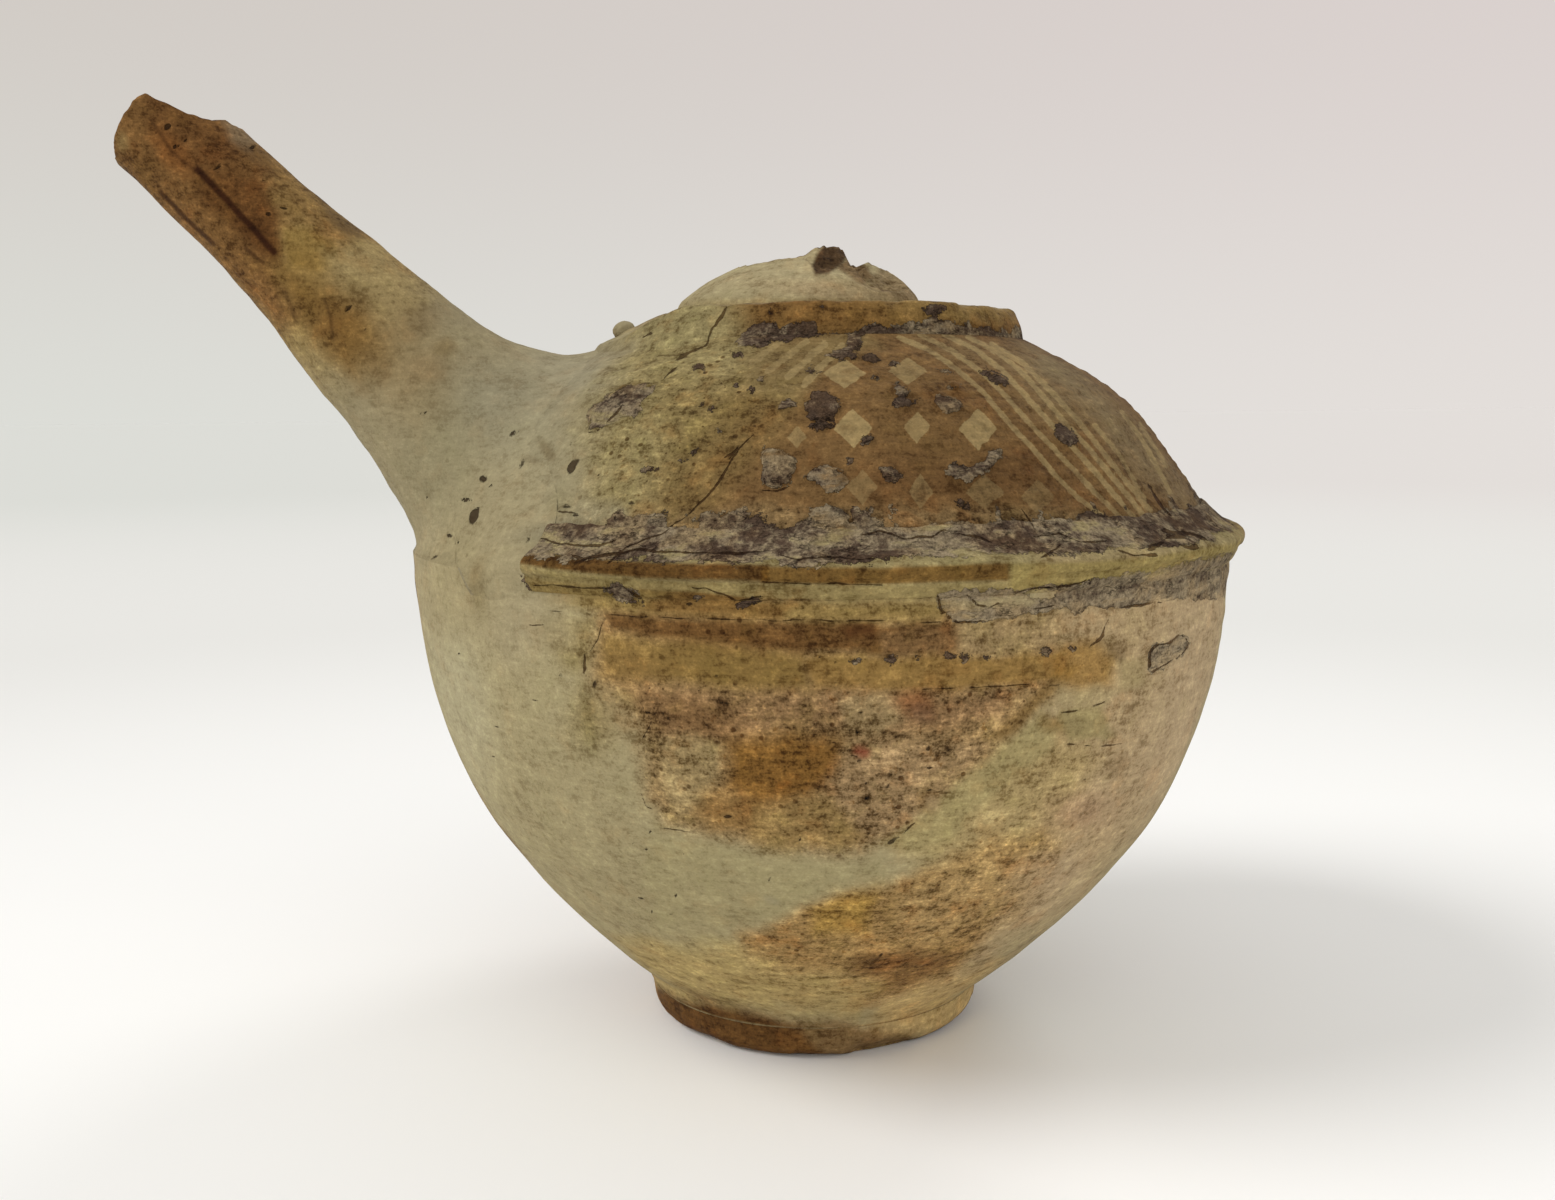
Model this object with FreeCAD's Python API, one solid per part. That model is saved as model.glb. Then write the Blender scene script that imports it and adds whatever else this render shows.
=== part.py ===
import FreeCAD, Part
import math
import os

# Spouted jar of fired clay, built the way a potter luted it together from separate pieces.
# Millimetres. +Z is up, the spout points along -X, and the origin is the middle of the resting face.

# Foot: a solid pad that the bowl was set on, a little off its middle towards the spout
foot_height = 7.0
foot_seat_inset = 3.8
foot_top_radius = 35.4
foot_offset = 1.8
foot_side_shares = ((0.55, 0.13), (0.87, 0.36), (1.0, 0.70), (1.0, 1.0))
foot_chip_angle = -78.0
foot_chip_depth = 1.9
foot_chip_rise = 3.0
foot_chip_width = 17.0

# Bowl: the lower half of the body, thrown in one piece with its floor
bowl_foot_ledge = 1.8
bowl_rise = 94.5
bowl_floor = 6.0
bowl_wall = 5.5
belly_radius = 84.6
joint_bevel = 2.0
bowl_outline_shares = ((0.44, 0.243), (0.84, 0.561), (1.0, 1.0))

# Dome: the upper half of the body, closed in to a level shelf for the neck
dome_wall = 5.0
dome_top_radius = 43.4
dome_rise = 41.1
dome_outline_shares = ((0.262, 0.377), (0.568, 0.742), (1.0, 1.0))

# Flange: the sharp ridge laid over the joint of bowl and dome, left out where the spout springs
flange_reach = 2.9
flange_lip = 2.4
flange_lip_rise = 0.6
flange_root_drop = 4.0
flange_ledge_rise = 7.5
flange_root_share = 0.2
flange_gap_angle = 40.0

# Collar: a stepped ring laid on the shelf
collar_step = 0.7
collar_draft = 1.5
collar_height = 6.4
collar_edge_round = 1.2
collar_wear_width = 12.0
collar_wear_rise = 5.6
collar_wear_start = 1.0

# Neck: the broken stump that is left of it, set a little towards the spout
neck_offset = 4.0
neck_inset = 17.1
neck_stump_height = 19.9
neck_foot_wall = 13.6
neck_top_wall = 5.2
neck_lean_shares = (
    (0.36, 1.00, 1.00),
    (0.46, 0.96, 0.965),
    (0.58, 0.82, 0.87),
    (0.67, 0.70, 0.79),
    (0.77, 0.45, 0.675),
    (0.85, 0.20, 0.58),
    (1.00, 0.0, 0.515),
)
neck_break_shares = (
    (1, 0.72),
    (11, 0.75),
    (21, 0.50),
    (31, 0.86),
    (46, 0.88),
    (76, 0.80),
    (121, 0.80),
    (166, 0.80),
    (196, 0.80),
    (234, 0.84),
    (254, 1.00),
    (263, 1.22),
    (270, 0.59),
    (290, 0.49),
    (306, 0.43),
    (326, 0.37),
    (346, 0.32),
)
neck_break_middle_share = 0.80

# Spout: a tapered tube whose root flares onto the dome
spout_rise_angle = 46.5
spout_seat_share = 0.513
spout_length = 87.6
spout_joint_length = 22.0
spout_wall = 4.4
spout_joint_radius = 16.1
spout_outline_shares = ((0.36, 0.79), (0.56, 0.712), (0.775, 0.677), (1.0, 0.68))
spout_bore_flare = 3.4
spout_bore_reach = 30.0
break_edge_shares = (
    (0.86, 1.30),
    (0.885, 0.66),
    (0.915, 0.36),
    (0.945, 0.46),
    (0.975, 0.42),
    (1.0, 0.25),
)
end_chip_shares = ((1.0, -0.55), (0.985, -0.85), (0.962, -1.15))

# Luting: the clay smeared round the root of the spout, from the seam outwards
seam_radius = 27.5
flare_top_radius = 35.0
flare_side_radius = 47.0
flare_bottom_radius = 31.0
flare_depth = 26.0
flare_station_shares = (
    (0.20, 0.13, 0.10, 0.16, 0.0),
    (0.35, 0.38, 0.23, 0.32, 0.0),
    (0.54, 0.86, 0.53, 0.60, 0.12),
    (0.70, 1.0, 0.84, 0.88, 0.68),
    (1.0, 1.0, 1.0, 1.0, 1.0),
)
apron_reach = 10.5
apron_angle = 102.0
apron_spread = 17.0

# Pellet: a small knob of clay beside the crest of the root
pellet_radius = 2.8
pellet_angle = 11.0
pellet_inset = 3.0
pellet_lift = 2.8

# Cutting tools run past what they cut by this much
overrun = 4.0

# Points round one section of the flare
flare_points = 16

full_turn = 360.0
axis_up = FreeCAD.Vector(0, 0, 1)
origin = FreeCAD.Vector(0, 0, 0)

# Heights and radii that follow from the sizes above
foot_seat_radius = foot_top_radius - foot_seat_inset
bowl_foot_radius = foot_top_radius + bowl_foot_ledge
joint_height = foot_height + bowl_rise
dome_top_height = joint_height + dome_rise
flange_tip_radius = belly_radius + flange_reach
collar_foot_radius = dome_top_radius - collar_step
collar_top_radius = collar_foot_radius - collar_draft
pellet_reach = dome_top_radius - pellet_inset
neck_base_radius = collar_foot_radius - neck_inset
neck_bore_foot_radius = neck_base_radius - neck_foot_wall
neck_bore_radius = neck_base_radius * neck_lean_shares[-1][2] - neck_top_wall


def profile_point(radius, height):
    """A point of a turned outline, in the plane of the spout's far side."""
    return FreeCAD.Vector(radius, 0, height)


def line(start, end):
    """A straight edge."""
    return Part.LineSegment(start, end).toShape()


def outline(corners):
    """The straight edges round a closed outline."""
    return [line(start, end) for start, end in zip(corners, corners[1:] + corners[:1])]


def arcs(points, heading):
    """A run of arcs through points, each leaving the last without a corner, and its end heading."""
    edges = []
    for start, end in zip(points, points[1:]):
        chord = end - start
        bend = math.atan2(chord.z, chord.x) - heading
        reach = chord.Length / 2 / math.cos(bend / 2)
        lean = heading + bend / 2
        middle = start + profile_point(math.cos(lean), math.sin(lean)) * reach
        edges.append(Part.Arc(start, middle, end).toShape())
        heading += 2 * bend
    return edges, heading


def turned(edges, angle=full_turn):
    """The solid that a closed outline sweeps round the upright axis."""
    face = Part.Face(Part.Wire(edges))
    return face.revolve(origin, axis_up, angle)


def shared_points(start, end, shares):
    """Outline points between two ends, each a share of the way across and up."""
    across = end.x - start.x
    up = end.z - start.z
    return [profile_point(start.x + across * a, start.z + up * b) for a, b in shares]


def inner_points(points, wall):
    """The inner corners of an outline, moved square to it by the wall's thickness."""
    moved = []
    for before, point, after in zip(points, points[1:], points[2:]):
        along = after - before
        along.normalize()
        inward = profile_point(-along.z, along.x)
        moved.append(point + inward * wall)
    return moved


def heading_of(start, end):
    """The direction of a straight run in the plane of a turned outline, in radians."""
    return math.atan2(end.z - start.z, end.x - start.x)


def largest(shape):
    """The biggest solid of a shape."""
    return max(shape.Solids, key=lambda solid: solid.Volume)


# The turned outlines that the pieces of the body share
bowl_start = profile_point(bowl_foot_radius, foot_height)
joint_outside = profile_point(belly_radius, joint_height)
joint_inside = profile_point(belly_radius - bowl_wall, joint_height - joint_bevel)
dome_end = profile_point(dome_top_radius, dome_top_height)
bowl_points = shared_points(bowl_start, joint_outside, bowl_outline_shares)
dome_points = shared_points(joint_outside, dome_end, dome_outline_shares)
floor_height = foot_height + bowl_floor
ceiling_height = dome_top_height - dome_wall


def outer_edges(start, points):
    """The outside of a wall: a straight run, then arcs that leave it without a corner."""
    return [line(start, points[0])] + arcs(points, heading_of(start, points[0]))[0]


def bowl_inner_edges():
    """The inside of the bowl, from the joint down to the middle of its floor."""
    inside = inner_points([bowl_start] + bowl_points, bowl_wall)
    floor_edge = profile_point(bowl_foot_radius - bowl_wall, floor_height)
    floor_middle = profile_point(0, floor_height)
    wall_edges = arcs([joint_inside] + inside[::-1], -math.pi / 2)[0]
    return wall_edges + [line(inside[0], floor_edge), line(floor_edge, floor_middle)]


def dome_inner_edges():
    """The inside of the dome, from the joint up to the middle of its ceiling."""
    inside = inner_points([joint_outside] + dome_points, dome_wall)
    ceiling_edge = profile_point(dome_top_radius - dome_wall, ceiling_height)
    ceiling_middle = profile_point(0, ceiling_height)
    wall_edges = [line(joint_inside, inside[0])]
    wall_edges += arcs(inside + [ceiling_edge], heading_of(joint_inside, inside[0]))[0]
    return wall_edges + [line(ceiling_edge, ceiling_middle)]


def body_volume():
    """The whole room that bowl and dome take up, walls and hollow together."""
    foot_middle = profile_point(0, foot_height)
    shelf_middle = profile_point(0, dome_top_height)
    edges = [line(foot_middle, bowl_start)] + outer_edges(bowl_start, bowl_points)
    edges += outer_edges(joint_outside, dome_points)
    edges += [line(dome_end, shelf_middle), line(shelf_middle, foot_middle)]
    return turned(edges)


def foot():
    """A pad with a rounded side, chipped at one place of its lower edge."""
    seat_middle = profile_point(0, 0)
    seat_edge = profile_point(foot_seat_radius, 0)
    side = shared_points(seat_edge, profile_point(foot_top_radius, foot_height), foot_side_shares)
    top_middle = profile_point(0, foot_height)
    pad = turned(outline([seat_middle, seat_edge] + side + [top_middle]))
    chip = Part.makeBox(foot_seat_radius, foot_chip_width, foot_height)
    chip.translate(FreeCAD.Vector(0, -foot_chip_width / 2, -foot_height))
    slope = math.degrees(math.atan2(foot_chip_rise, foot_top_radius - foot_seat_radius + foot_chip_depth))
    chip.rotate(origin, FreeCAD.Vector(0, 1, 0), -slope)
    chip.translate(FreeCAD.Vector(foot_seat_radius - foot_chip_depth, 0, 0))
    chip.rotate(origin, axis_up, foot_chip_angle)
    chipped = pad.cut(chip)
    chipped.translate(FreeCAD.Vector(-foot_offset, 0, 0))
    return chipped


def lower_bowl():
    """The round bowl, with a bevelled rim that the dome is luted to."""
    foot_middle = profile_point(0, foot_height)
    floor_middle = profile_point(0, floor_height)
    edges = [line(foot_middle, bowl_start)] + outer_edges(bowl_start, bowl_points)
    edges += [line(joint_outside, joint_inside)]
    edges += bowl_inner_edges() + [line(floor_middle, foot_middle)]
    return turned(edges)


def neck_axis_cylinder(radius, low, high):
    """A round about the axis of the neck, from one height to another."""
    base = FreeCAD.Vector(-neck_offset, 0, low)
    return Part.makeCylinder(radius, high - low, base, axis_up)


def shoulder_dome():
    """The upper wall of the body, open for the neck and for the spout."""
    shelf_middle = profile_point(0, dome_top_height)
    ceiling_middle = profile_point(0, ceiling_height)
    edges = [line(joint_inside, joint_outside)] + outer_edges(joint_outside, dome_points)
    edges += [line(dome_end, shelf_middle), line(shelf_middle, ceiling_middle)]
    edges += dome_inner_edges()[::-1]
    mouth = neck_axis_cylinder(neck_bore_foot_radius, ceiling_height - overrun, dome_top_height + overrun)
    return turned(edges).cut(mouth).cut(spout_bore())


def shoulder_flange():
    """The ridge over the joint, with a blunt lip, open where the spout springs."""
    low_edge = profile_point(belly_radius, joint_height - flange_root_drop)
    lip_low = profile_point(flange_tip_radius - flange_lip_rise, joint_height)
    lip_tip = profile_point(flange_tip_radius, joint_height + flange_lip / 2)
    lip_high = profile_point(flange_tip_radius - flange_lip_rise, joint_height + flange_lip)
    run = dome_points[0] - joint_outside
    ledge_end = joint_outside + run * (flange_ledge_rise / run.z)
    ledge_root = ledge_end + (ledge_end - lip_high) * flange_root_share
    back_low = profile_point(belly_radius - bowl_wall / 2, joint_height - flange_root_drop)
    back_high = profile_point(ledge_root.x - dome_wall / 2, ledge_root.z)
    corners = [low_edge, lip_low, lip_tip, lip_high, ledge_root, back_high, back_low]
    ridge = turned(outline(corners), full_turn - 2 * flange_gap_angle)
    ridge.rotate(origin, axis_up, flange_gap_angle - full_turn / 2)
    return ridge.cut(body_volume())


def collar_wear():
    """The sloping plane that has worn the collar down beside the spout."""
    low = FreeCAD.Vector(-dome_top_radius, 0, dome_top_height + collar_wear_start)
    high = FreeCAD.Vector(-dome_top_radius + collar_wear_width, 0, low.z + collar_wear_rise)
    slope = high - low
    outside = low - slope
    inside = high + slope
    lift = axis_up * (inside.z - outside.z)
    face = Part.Face(Part.makePolygon([outside, inside, inside + lift, outside + lift, outside]))
    face.translate(FreeCAD.Vector(0, -dome_top_radius, 0))
    return face.extrude(FreeCAD.Vector(0, 2 * dome_top_radius, 0))


def neck_collar():
    """The stepped ring round the foot of the neck, worn on the spout's side."""
    top_height = dome_top_height + collar_height
    foot_edge = profile_point(collar_foot_radius, dome_top_height)
    side_end = profile_point(collar_top_radius, top_height - collar_edge_round)
    top_edge = profile_point(collar_top_radius - collar_edge_round, top_height)
    top_middle = profile_point(0, top_height)
    foot_middle = profile_point(0, dome_top_height)
    ring = turned(outline([foot_edge, side_end, top_edge, top_middle, foot_middle]))
    hole = neck_axis_cylinder(neck_base_radius, dome_top_height - overrun, top_height + overrun)
    return ring.cut(hole).cut(collar_wear())


def neck_break():
    """The room above the broken rim: one wedge for each facet of the break."""
    reach = neck_base_radius + neck_offset + overrun
    lift = FreeCAD.Vector(0, 0, neck_stump_height)
    middle = FreeCAD.Vector(0, 0, neck_stump_height * neck_break_middle_share)
    corners = []
    for angle, share in neck_break_shares:
        turn = math.radians(angle)
        across = FreeCAD.Vector(reach * math.cos(turn), reach * math.sin(turn), 0)
        corners.append(across + axis_up * (neck_stump_height * share))
    wedges = []
    for start, end in zip(corners, corners[1:] + corners[:1]):
        facet = Part.Face(Part.makePolygon([middle, start, end, middle]))
        wedges.append(facet.extrude(lift))
    return wedges[0].multiFuse(wedges[1:])


def upright_circle(offset, radius, height):
    """A level round section, set towards the spout by an offset."""
    return Part.Wire(Part.makeCircle(radius, FreeCAD.Vector(-offset, 0, height), axis_up))


def neck_stump():
    """The cushion-shaped root of the neck, hollow, broken off unevenly."""
    sections = []
    for height_share, lean_share, radius_share in neck_lean_shares:
        offset = neck_offset * lean_share
        radius = neck_base_radius * radius_share
        sections.append(upright_circle(offset, radius, neck_stump_height * height_share))
    cushion = Part.makeLoft(sections, True, True)
    plug_height = neck_stump_height * neck_lean_shares[0][0]
    plug = Part.makeCylinder(neck_base_radius, plug_height, FreeCAD.Vector(-neck_offset, 0, 0), axis_up)
    lean = FreeCAD.Vector(neck_offset, 0, neck_stump_height)
    drop = lean * (overrun / neck_stump_height)
    base = FreeCAD.Vector(-neck_offset, 0, 0) - drop
    reach = lean.Length + 2 * drop.Length
    bore = Part.makeCone(neck_bore_foot_radius, neck_bore_radius, reach, base, lean)
    stump = cushion.fuse(plug).cut(bore).cut(neck_break()).removeSplitter()
    stump.translate(FreeCAD.Vector(0, 0, dome_top_height))
    return largest(stump)


def spout_seat():
    """Where the spout's own axis crosses the outside of the dome."""
    height = joint_height + (dome_top_height - joint_height) * spout_seat_share
    level = line(profile_point(0, height), profile_point(belly_radius, height))
    crossing = Part.Wire(outer_edges(joint_outside, dome_points)).distToShape(level)[1][0][0]
    return FreeCAD.Vector(-crossing.x, 0, crossing.z)


def on_spout(shape):
    """A shape made upright about Z, laid over onto the axis of the spout."""
    placed = shape.copy()
    placed.rotate(origin, FreeCAD.Vector(0, 1, 0), spout_rise_angle - full_turn / 4)
    placed.translate(spout_seat())
    return placed


def tube_points(thinner):
    """The outline of the tube from its joint to its tip, less a wall."""
    run = spout_length - spout_joint_length
    points = [profile_point(spout_joint_radius - thinner, spout_joint_length)]
    for along, share in spout_outline_shares:
        points.append(profile_point(spout_joint_radius * share - thinner, spout_joint_length + run * along))
    return points


def spout_bore():
    """The channel of the spout, from inside the body out past the tip."""
    points = tube_points(spout_wall)
    inner_end = profile_point(points[0].x + spout_bore_flare, -spout_bore_reach)
    outer_end = profile_point(points[-1].x, spout_length + overrun)
    corners = [profile_point(0, inner_end.z), inner_end] + points + [outer_end, profile_point(0, outer_end.z)]
    return on_spout(turned(outline(corners)))


def tip_break():
    """The room of the lost upper wall at the tip, seen from the side."""
    radius = spout_joint_radius * spout_outline_shares[-1][1]
    points = [FreeCAD.Vector(radius * b, 0, spout_length * a) for a, b in break_edge_shares]
    reach = radius + overrun
    points.append(FreeCAD.Vector(points[-1].x, 0, spout_length + overrun))
    points.append(FreeCAD.Vector(reach, 0, spout_length + overrun))
    points.append(FreeCAD.Vector(reach, 0, points[0].z))
    points.append(points[0])
    face = Part.Face(Part.makePolygon(points))
    face.translate(FreeCAD.Vector(0, -reach, 0))
    return face.extrude(FreeCAD.Vector(0, 2 * reach, 0))


def end_chip():
    """The sliver lost from the lower side of the open end."""
    radius = spout_joint_radius * spout_outline_shares[-1][1]
    reach = radius + overrun
    points = [FreeCAD.Vector(radius * b, 0, spout_length * a) for a, b in end_chip_shares]
    points.append(FreeCAD.Vector(-reach, 0, points[-1].z))
    points.append(FreeCAD.Vector(-reach, 0, spout_length + overrun))
    points.append(FreeCAD.Vector(points[0].x, 0, spout_length + overrun))
    points.append(points[0])
    face = Part.Face(Part.makePolygon(points))
    face.translate(FreeCAD.Vector(0, -reach, 0))
    return face.extrude(FreeCAD.Vector(0, 2 * reach, 0))


def spout_tube():
    """The tapered tube, whole up to the break and a trough beyond it."""
    points = tube_points(0)
    joint_middle = profile_point(0, spout_joint_length)
    tip_middle = profile_point(0, spout_length)
    broken = turned(outline(points + [tip_middle, joint_middle])).cut(tip_break()).cut(end_chip())
    return on_spout(broken).cut(spout_bore())


def flare_radius(turn, top, side, bottom, apron):
    """How far one section of the flare stands from the spout's axis, by direction."""
    upper = max(0.0, math.cos(turn)) ** 2
    lower = max(0.0, -math.cos(turn)) ** 2
    away = abs(math.degrees(math.atan2(math.sin(turn), math.cos(turn))))
    bulge = apron * math.exp(-((away - apron_angle) / apron_spread) ** 2)
    return top * upper + bottom * lower + side * (1 - upper - lower) + bulge


def flare_section(depth_share, top_share, side_share, bottom_share, apron_share):
    """One closed section of the flare, square to the spout's axis."""
    height = spout_joint_length - (spout_joint_length + flare_depth) * depth_share
    top = spout_joint_radius + (flare_top_radius - spout_joint_radius) * top_share
    side = spout_joint_radius + (flare_side_radius - spout_joint_radius) * side_share
    bottom = spout_joint_radius + (flare_bottom_radius - spout_joint_radius) * bottom_share
    points = []
    for step in range(flare_points):
        turn = 2 * math.pi * step / flare_points
        radius = flare_radius(turn, top, side, bottom, apron_reach * apron_share)
        points.append(FreeCAD.Vector(radius * math.cos(turn), radius * math.sin(turn), height))
    spline = Part.BSplineCurve()
    spline.interpolate(Points=points, PeriodicFlag=True)
    return Part.Wire(spline.toShape())


def flare_volume():
    """The trumpet-shaped root of the spout, solid, down into the body."""
    top = Part.makeCircle(spout_joint_radius, FreeCAD.Vector(0, 0, spout_joint_length), axis_up)
    sections = [Part.Wire(top)]
    sections += [flare_section(*shares) for shares in flare_station_shares]
    return on_spout(Part.makeLoft(sections, True)).cut(body_volume())


def seam_cylinder():
    """The round seam between the root and the smeared clay."""
    depth = flare_depth + overrun
    base = FreeCAD.Vector(0, 0, -depth)
    return on_spout(Part.makeCylinder(seam_radius, depth + spout_joint_length + overrun, base, axis_up))


def spout_root():
    """The flared end of the spout, as far out as its seam."""
    return largest(flare_volume().common(seam_cylinder()).cut(spout_bore()))


def collar_room():
    """The space that the collar fills."""
    height = collar_height
    base = FreeCAD.Vector(0, 0, dome_top_height)
    return Part.makeCylinder(collar_foot_radius, height, base, axis_up)


def luting_fillet():
    """The smeared clay that fairs the root into dome, bowl and flange."""
    smear = flare_volume().cut(seam_cylinder()).cut(shoulder_flange()).cut(collar_room())
    return largest(smear)


def root_pellet():
    """A small knob pressed into the corner of collar, dome and root."""
    turn = math.radians(pellet_angle)
    across = FreeCAD.Vector(-pellet_reach * math.cos(turn), pellet_reach * math.sin(turn), 0)
    knob = Part.makeSphere(pellet_radius, across + axis_up * (dome_top_height + pellet_lift))
    neighbours = [body_volume(), flare_volume(), neck_collar()]
    for neighbour in neighbours:
        knob = knob.cut(neighbour)
    return largest(knob)


makers = {
    "foot": foot,
    "lower_bowl": lower_bowl,
    "shoulder_dome": shoulder_dome,
    "shoulder_flange": shoulder_flange,
    "neck_collar": neck_collar,
    "neck_stump": neck_stump,
    "spout_root": spout_root,
    "luting_fillet": luting_fillet,
    "spout_tube": spout_tube,
    "root_pellet": root_pellet,
}

os.makedirs("parts", exist_ok=True)
for name, maker in makers.items():
    piece = maker()
    piece.exportStep("parts/" + name + ".step")
    print(name, piece.isValid(), len(piece.Solids), round(piece.Volume), piece.BoundBox)
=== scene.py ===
import math

import bpy
import numpy as np
from mathutils import Matrix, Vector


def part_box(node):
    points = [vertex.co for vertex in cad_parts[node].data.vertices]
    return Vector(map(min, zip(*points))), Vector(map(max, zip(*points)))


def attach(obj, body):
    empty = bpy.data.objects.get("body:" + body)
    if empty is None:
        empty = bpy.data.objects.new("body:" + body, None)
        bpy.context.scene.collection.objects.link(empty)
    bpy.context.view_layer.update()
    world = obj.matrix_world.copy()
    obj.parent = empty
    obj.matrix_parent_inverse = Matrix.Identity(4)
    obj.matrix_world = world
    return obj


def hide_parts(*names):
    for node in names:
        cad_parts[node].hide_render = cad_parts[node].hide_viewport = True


# A spouted jar of fired clay. Shapes are worked out in millimetres and laid into Blender in metres.
# Marks seen in the picture are placed by picture pixels (x to the right, y down) and carried onto the clay.

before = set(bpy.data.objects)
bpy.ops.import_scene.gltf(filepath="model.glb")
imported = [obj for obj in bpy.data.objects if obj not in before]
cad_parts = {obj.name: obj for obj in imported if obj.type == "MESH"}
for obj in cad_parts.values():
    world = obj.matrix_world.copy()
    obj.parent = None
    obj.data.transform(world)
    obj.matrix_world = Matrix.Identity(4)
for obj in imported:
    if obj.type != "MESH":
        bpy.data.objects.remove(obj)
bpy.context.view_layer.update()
mm = 0.001

# The picture's camera
picture_middle = (777.5, 600.0)
picture_width = 1555.0
lens_pixels = 1500.0
sensor_width = 36.0
camera_bearing = math.radians(14.0)
camera_distance = 320.944
camera_height = 128.675
camera_pitch = 0.125
camera_turn = 0.028
camera_roll = -0.011
pixel_size = 0.214

# Marks: how deep inside one a place is said to be that lies far outside all of them, how far away the
# nearest crack is where none is drawn, how squarely clay faces the camera where drawn marks stop, and
# where they have fully faded in
no_mark = -4.0
no_crack = 9.0
mark_view = 0.3
full_view = 0.16


def corner_mm(node, top):
    """One corner of a CAD piece's box in millimetres: its highest corner, or its lowest."""
    return np.array(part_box(node)[1 if top else 0]) / mm


# Sizes taken from the frame
foot_top = corner_mm("foot", True)[2]
joint_height = corner_mm("lower_bowl", True)[2]
belly_radius = corner_mm("lower_bowl", True)[0]
shelf_height = corner_mm("shoulder_dome", True)[2]
flange_tip = corner_mm("shoulder_flange", True)[0]
collar_top = corner_mm("neck_collar", True)[2]
neck_top = corner_mm("neck_stump", True)[2]
pellet_low = corner_mm("root_pellet", False)
pellet_high = corner_mm("root_pellet", True)

# Turned outlines, as (radius, height), from the middle outwards and up
foot_outline = ((31.4, 0.0), (32.5, 0.25), (34.0, 1.2), (35.1, 3.0), (35.4, 5.0), (35.7, foot_top))
foot_offset = 1.8
bowl_outline = (
    (35.6, foot_top), (37.2, 9.0), (40.2, 12.0), (43.7, 15.0), (50.0, 21.0), (58.6, 30.0), (65.7, 39.0),
    (71.9, 48.0), (77.5, 60.0), (81.3, 72.0), (83.4, 84.0), (84.3, 96.0), (belly_radius, joint_height),
)
dome_outline = (
    (belly_radius, joint_height), (79.3, 109.0), (73.9, 117.0), (69.6, 123.0), (64.6, 129.0),
    (57.2, 135.0), (52.2, 138.0), (46.6, 141.0), (43.4, shelf_height),
)
bowl_wall = 5.5
dome_wall = 5.0
rim_bevel = 2.0
floor_height = foot_top + 6.0

# Spout: where its axis leaves the dome, how it rises, and its width along the way
spout_seat = np.array((-70.0, 0.0, 122.6))
spout_rise = math.radians(46.5)
spout_sag = -0.4
spout_length = 87.9
spout_joint = 22.0
spout_wall = 4.4
spout_widths = (
    (22.0, 16.0), (30.0, 14.9), (39.0, 13.55), (47.0, 12.5), (57.0, 11.5), (66.0, 10.95), (77.0, 10.75),
    (87.9, 10.85),
)
# Flare of the root: share of its depth, then how far top, side, bottom and apron have opened
flare_stations = (
    (0.0, 0.0, 0.0, 0.0, 0.0), (0.15, 0.07, 0.06, 0.11, 0.0), (0.25, 0.2, 0.13, 0.21, 0.0),
    (0.35, 0.38, 0.23, 0.32, 0.0), (0.46, 0.64, 0.37, 0.46, 0.03), (0.54, 0.86, 0.53, 0.6, 0.12),
    (0.625, 0.97, 0.71, 0.76, 0.38), (0.73, 1.0, 0.89, 0.92, 0.78), (0.86, 1.0, 0.97, 0.98, 1.0),
    (1.0, 1.0, 1.0, 1.0, 1.0),
)
flare_depth = 48.0
flare_top, flare_side, flare_bottom = 35.5, 47.0, 29.6
apron_reach, apron_angle, apron_spread = 9.6, 102.0, 17.0
seam_radius = 27.5

# Neck: how its cushion leans and draws in with height, and its broken rim by bearing
neck_offset = 4.0
neck_radius = 25.6
neck_cushion = (
    (0.0, 1.0, 1.0), (0.3, 1.0, 1.0), (0.36, 1.0, 0.995), (0.46, 0.96, 0.965), (0.58, 0.82, 0.87),
    (0.67, 0.7, 0.79), (0.77, 0.45, 0.675), (0.85, 0.2, 0.58), (1.0, 0.0, 0.515),
)
neck_rim = (
    (166, 0.81), (205, 0.82), (234, 0.84), (250, 0.87), (256, 0.8), (263, 0.69), (275, 0.64), (290, 0.52),
    (300, 0.47), (315, 0.5), (330, 0.55), (345, 0.7), (355, 0.8), (371, 0.8), (381, 0.7), (391, 0.86),
    (420, 0.84), (470, 0.8), (526, 0.81),
)
neck_ridge = (
    (166, 0.83), (205, 0.83), (234, 0.86), (248, 0.93), (258, 0.995), (276, 0.99), (288, 0.95),
    (298, 0.82), (308, 0.71), (322, 0.72), (338, 0.8), (350, 0.88), (365, 0.86), (381, 0.72), (391, 0.88),
    (420, 0.86), (470, 0.82), (526, 0.83),
)
neck_bore_foot, neck_bore_top = 12.0, 8.0


# Numbers and noise

def smooth(x, low, high):
    """0 below low, 1 above high, and an even S between them."""
    t = np.clip((x - low) / (high - low), 0.0, 1.0)
    return t * t * (3.0 - 2.0 * t)


def bell(x, middle, width):
    """1 at the middle, and falling off on both sides as e to the square of the distance in widths."""
    return np.exp(-(((x - middle) / width) ** 2))


def between(a, b, share):
    """The point that lies that share of the way from a to b."""
    return a + (b - a) * share


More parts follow.
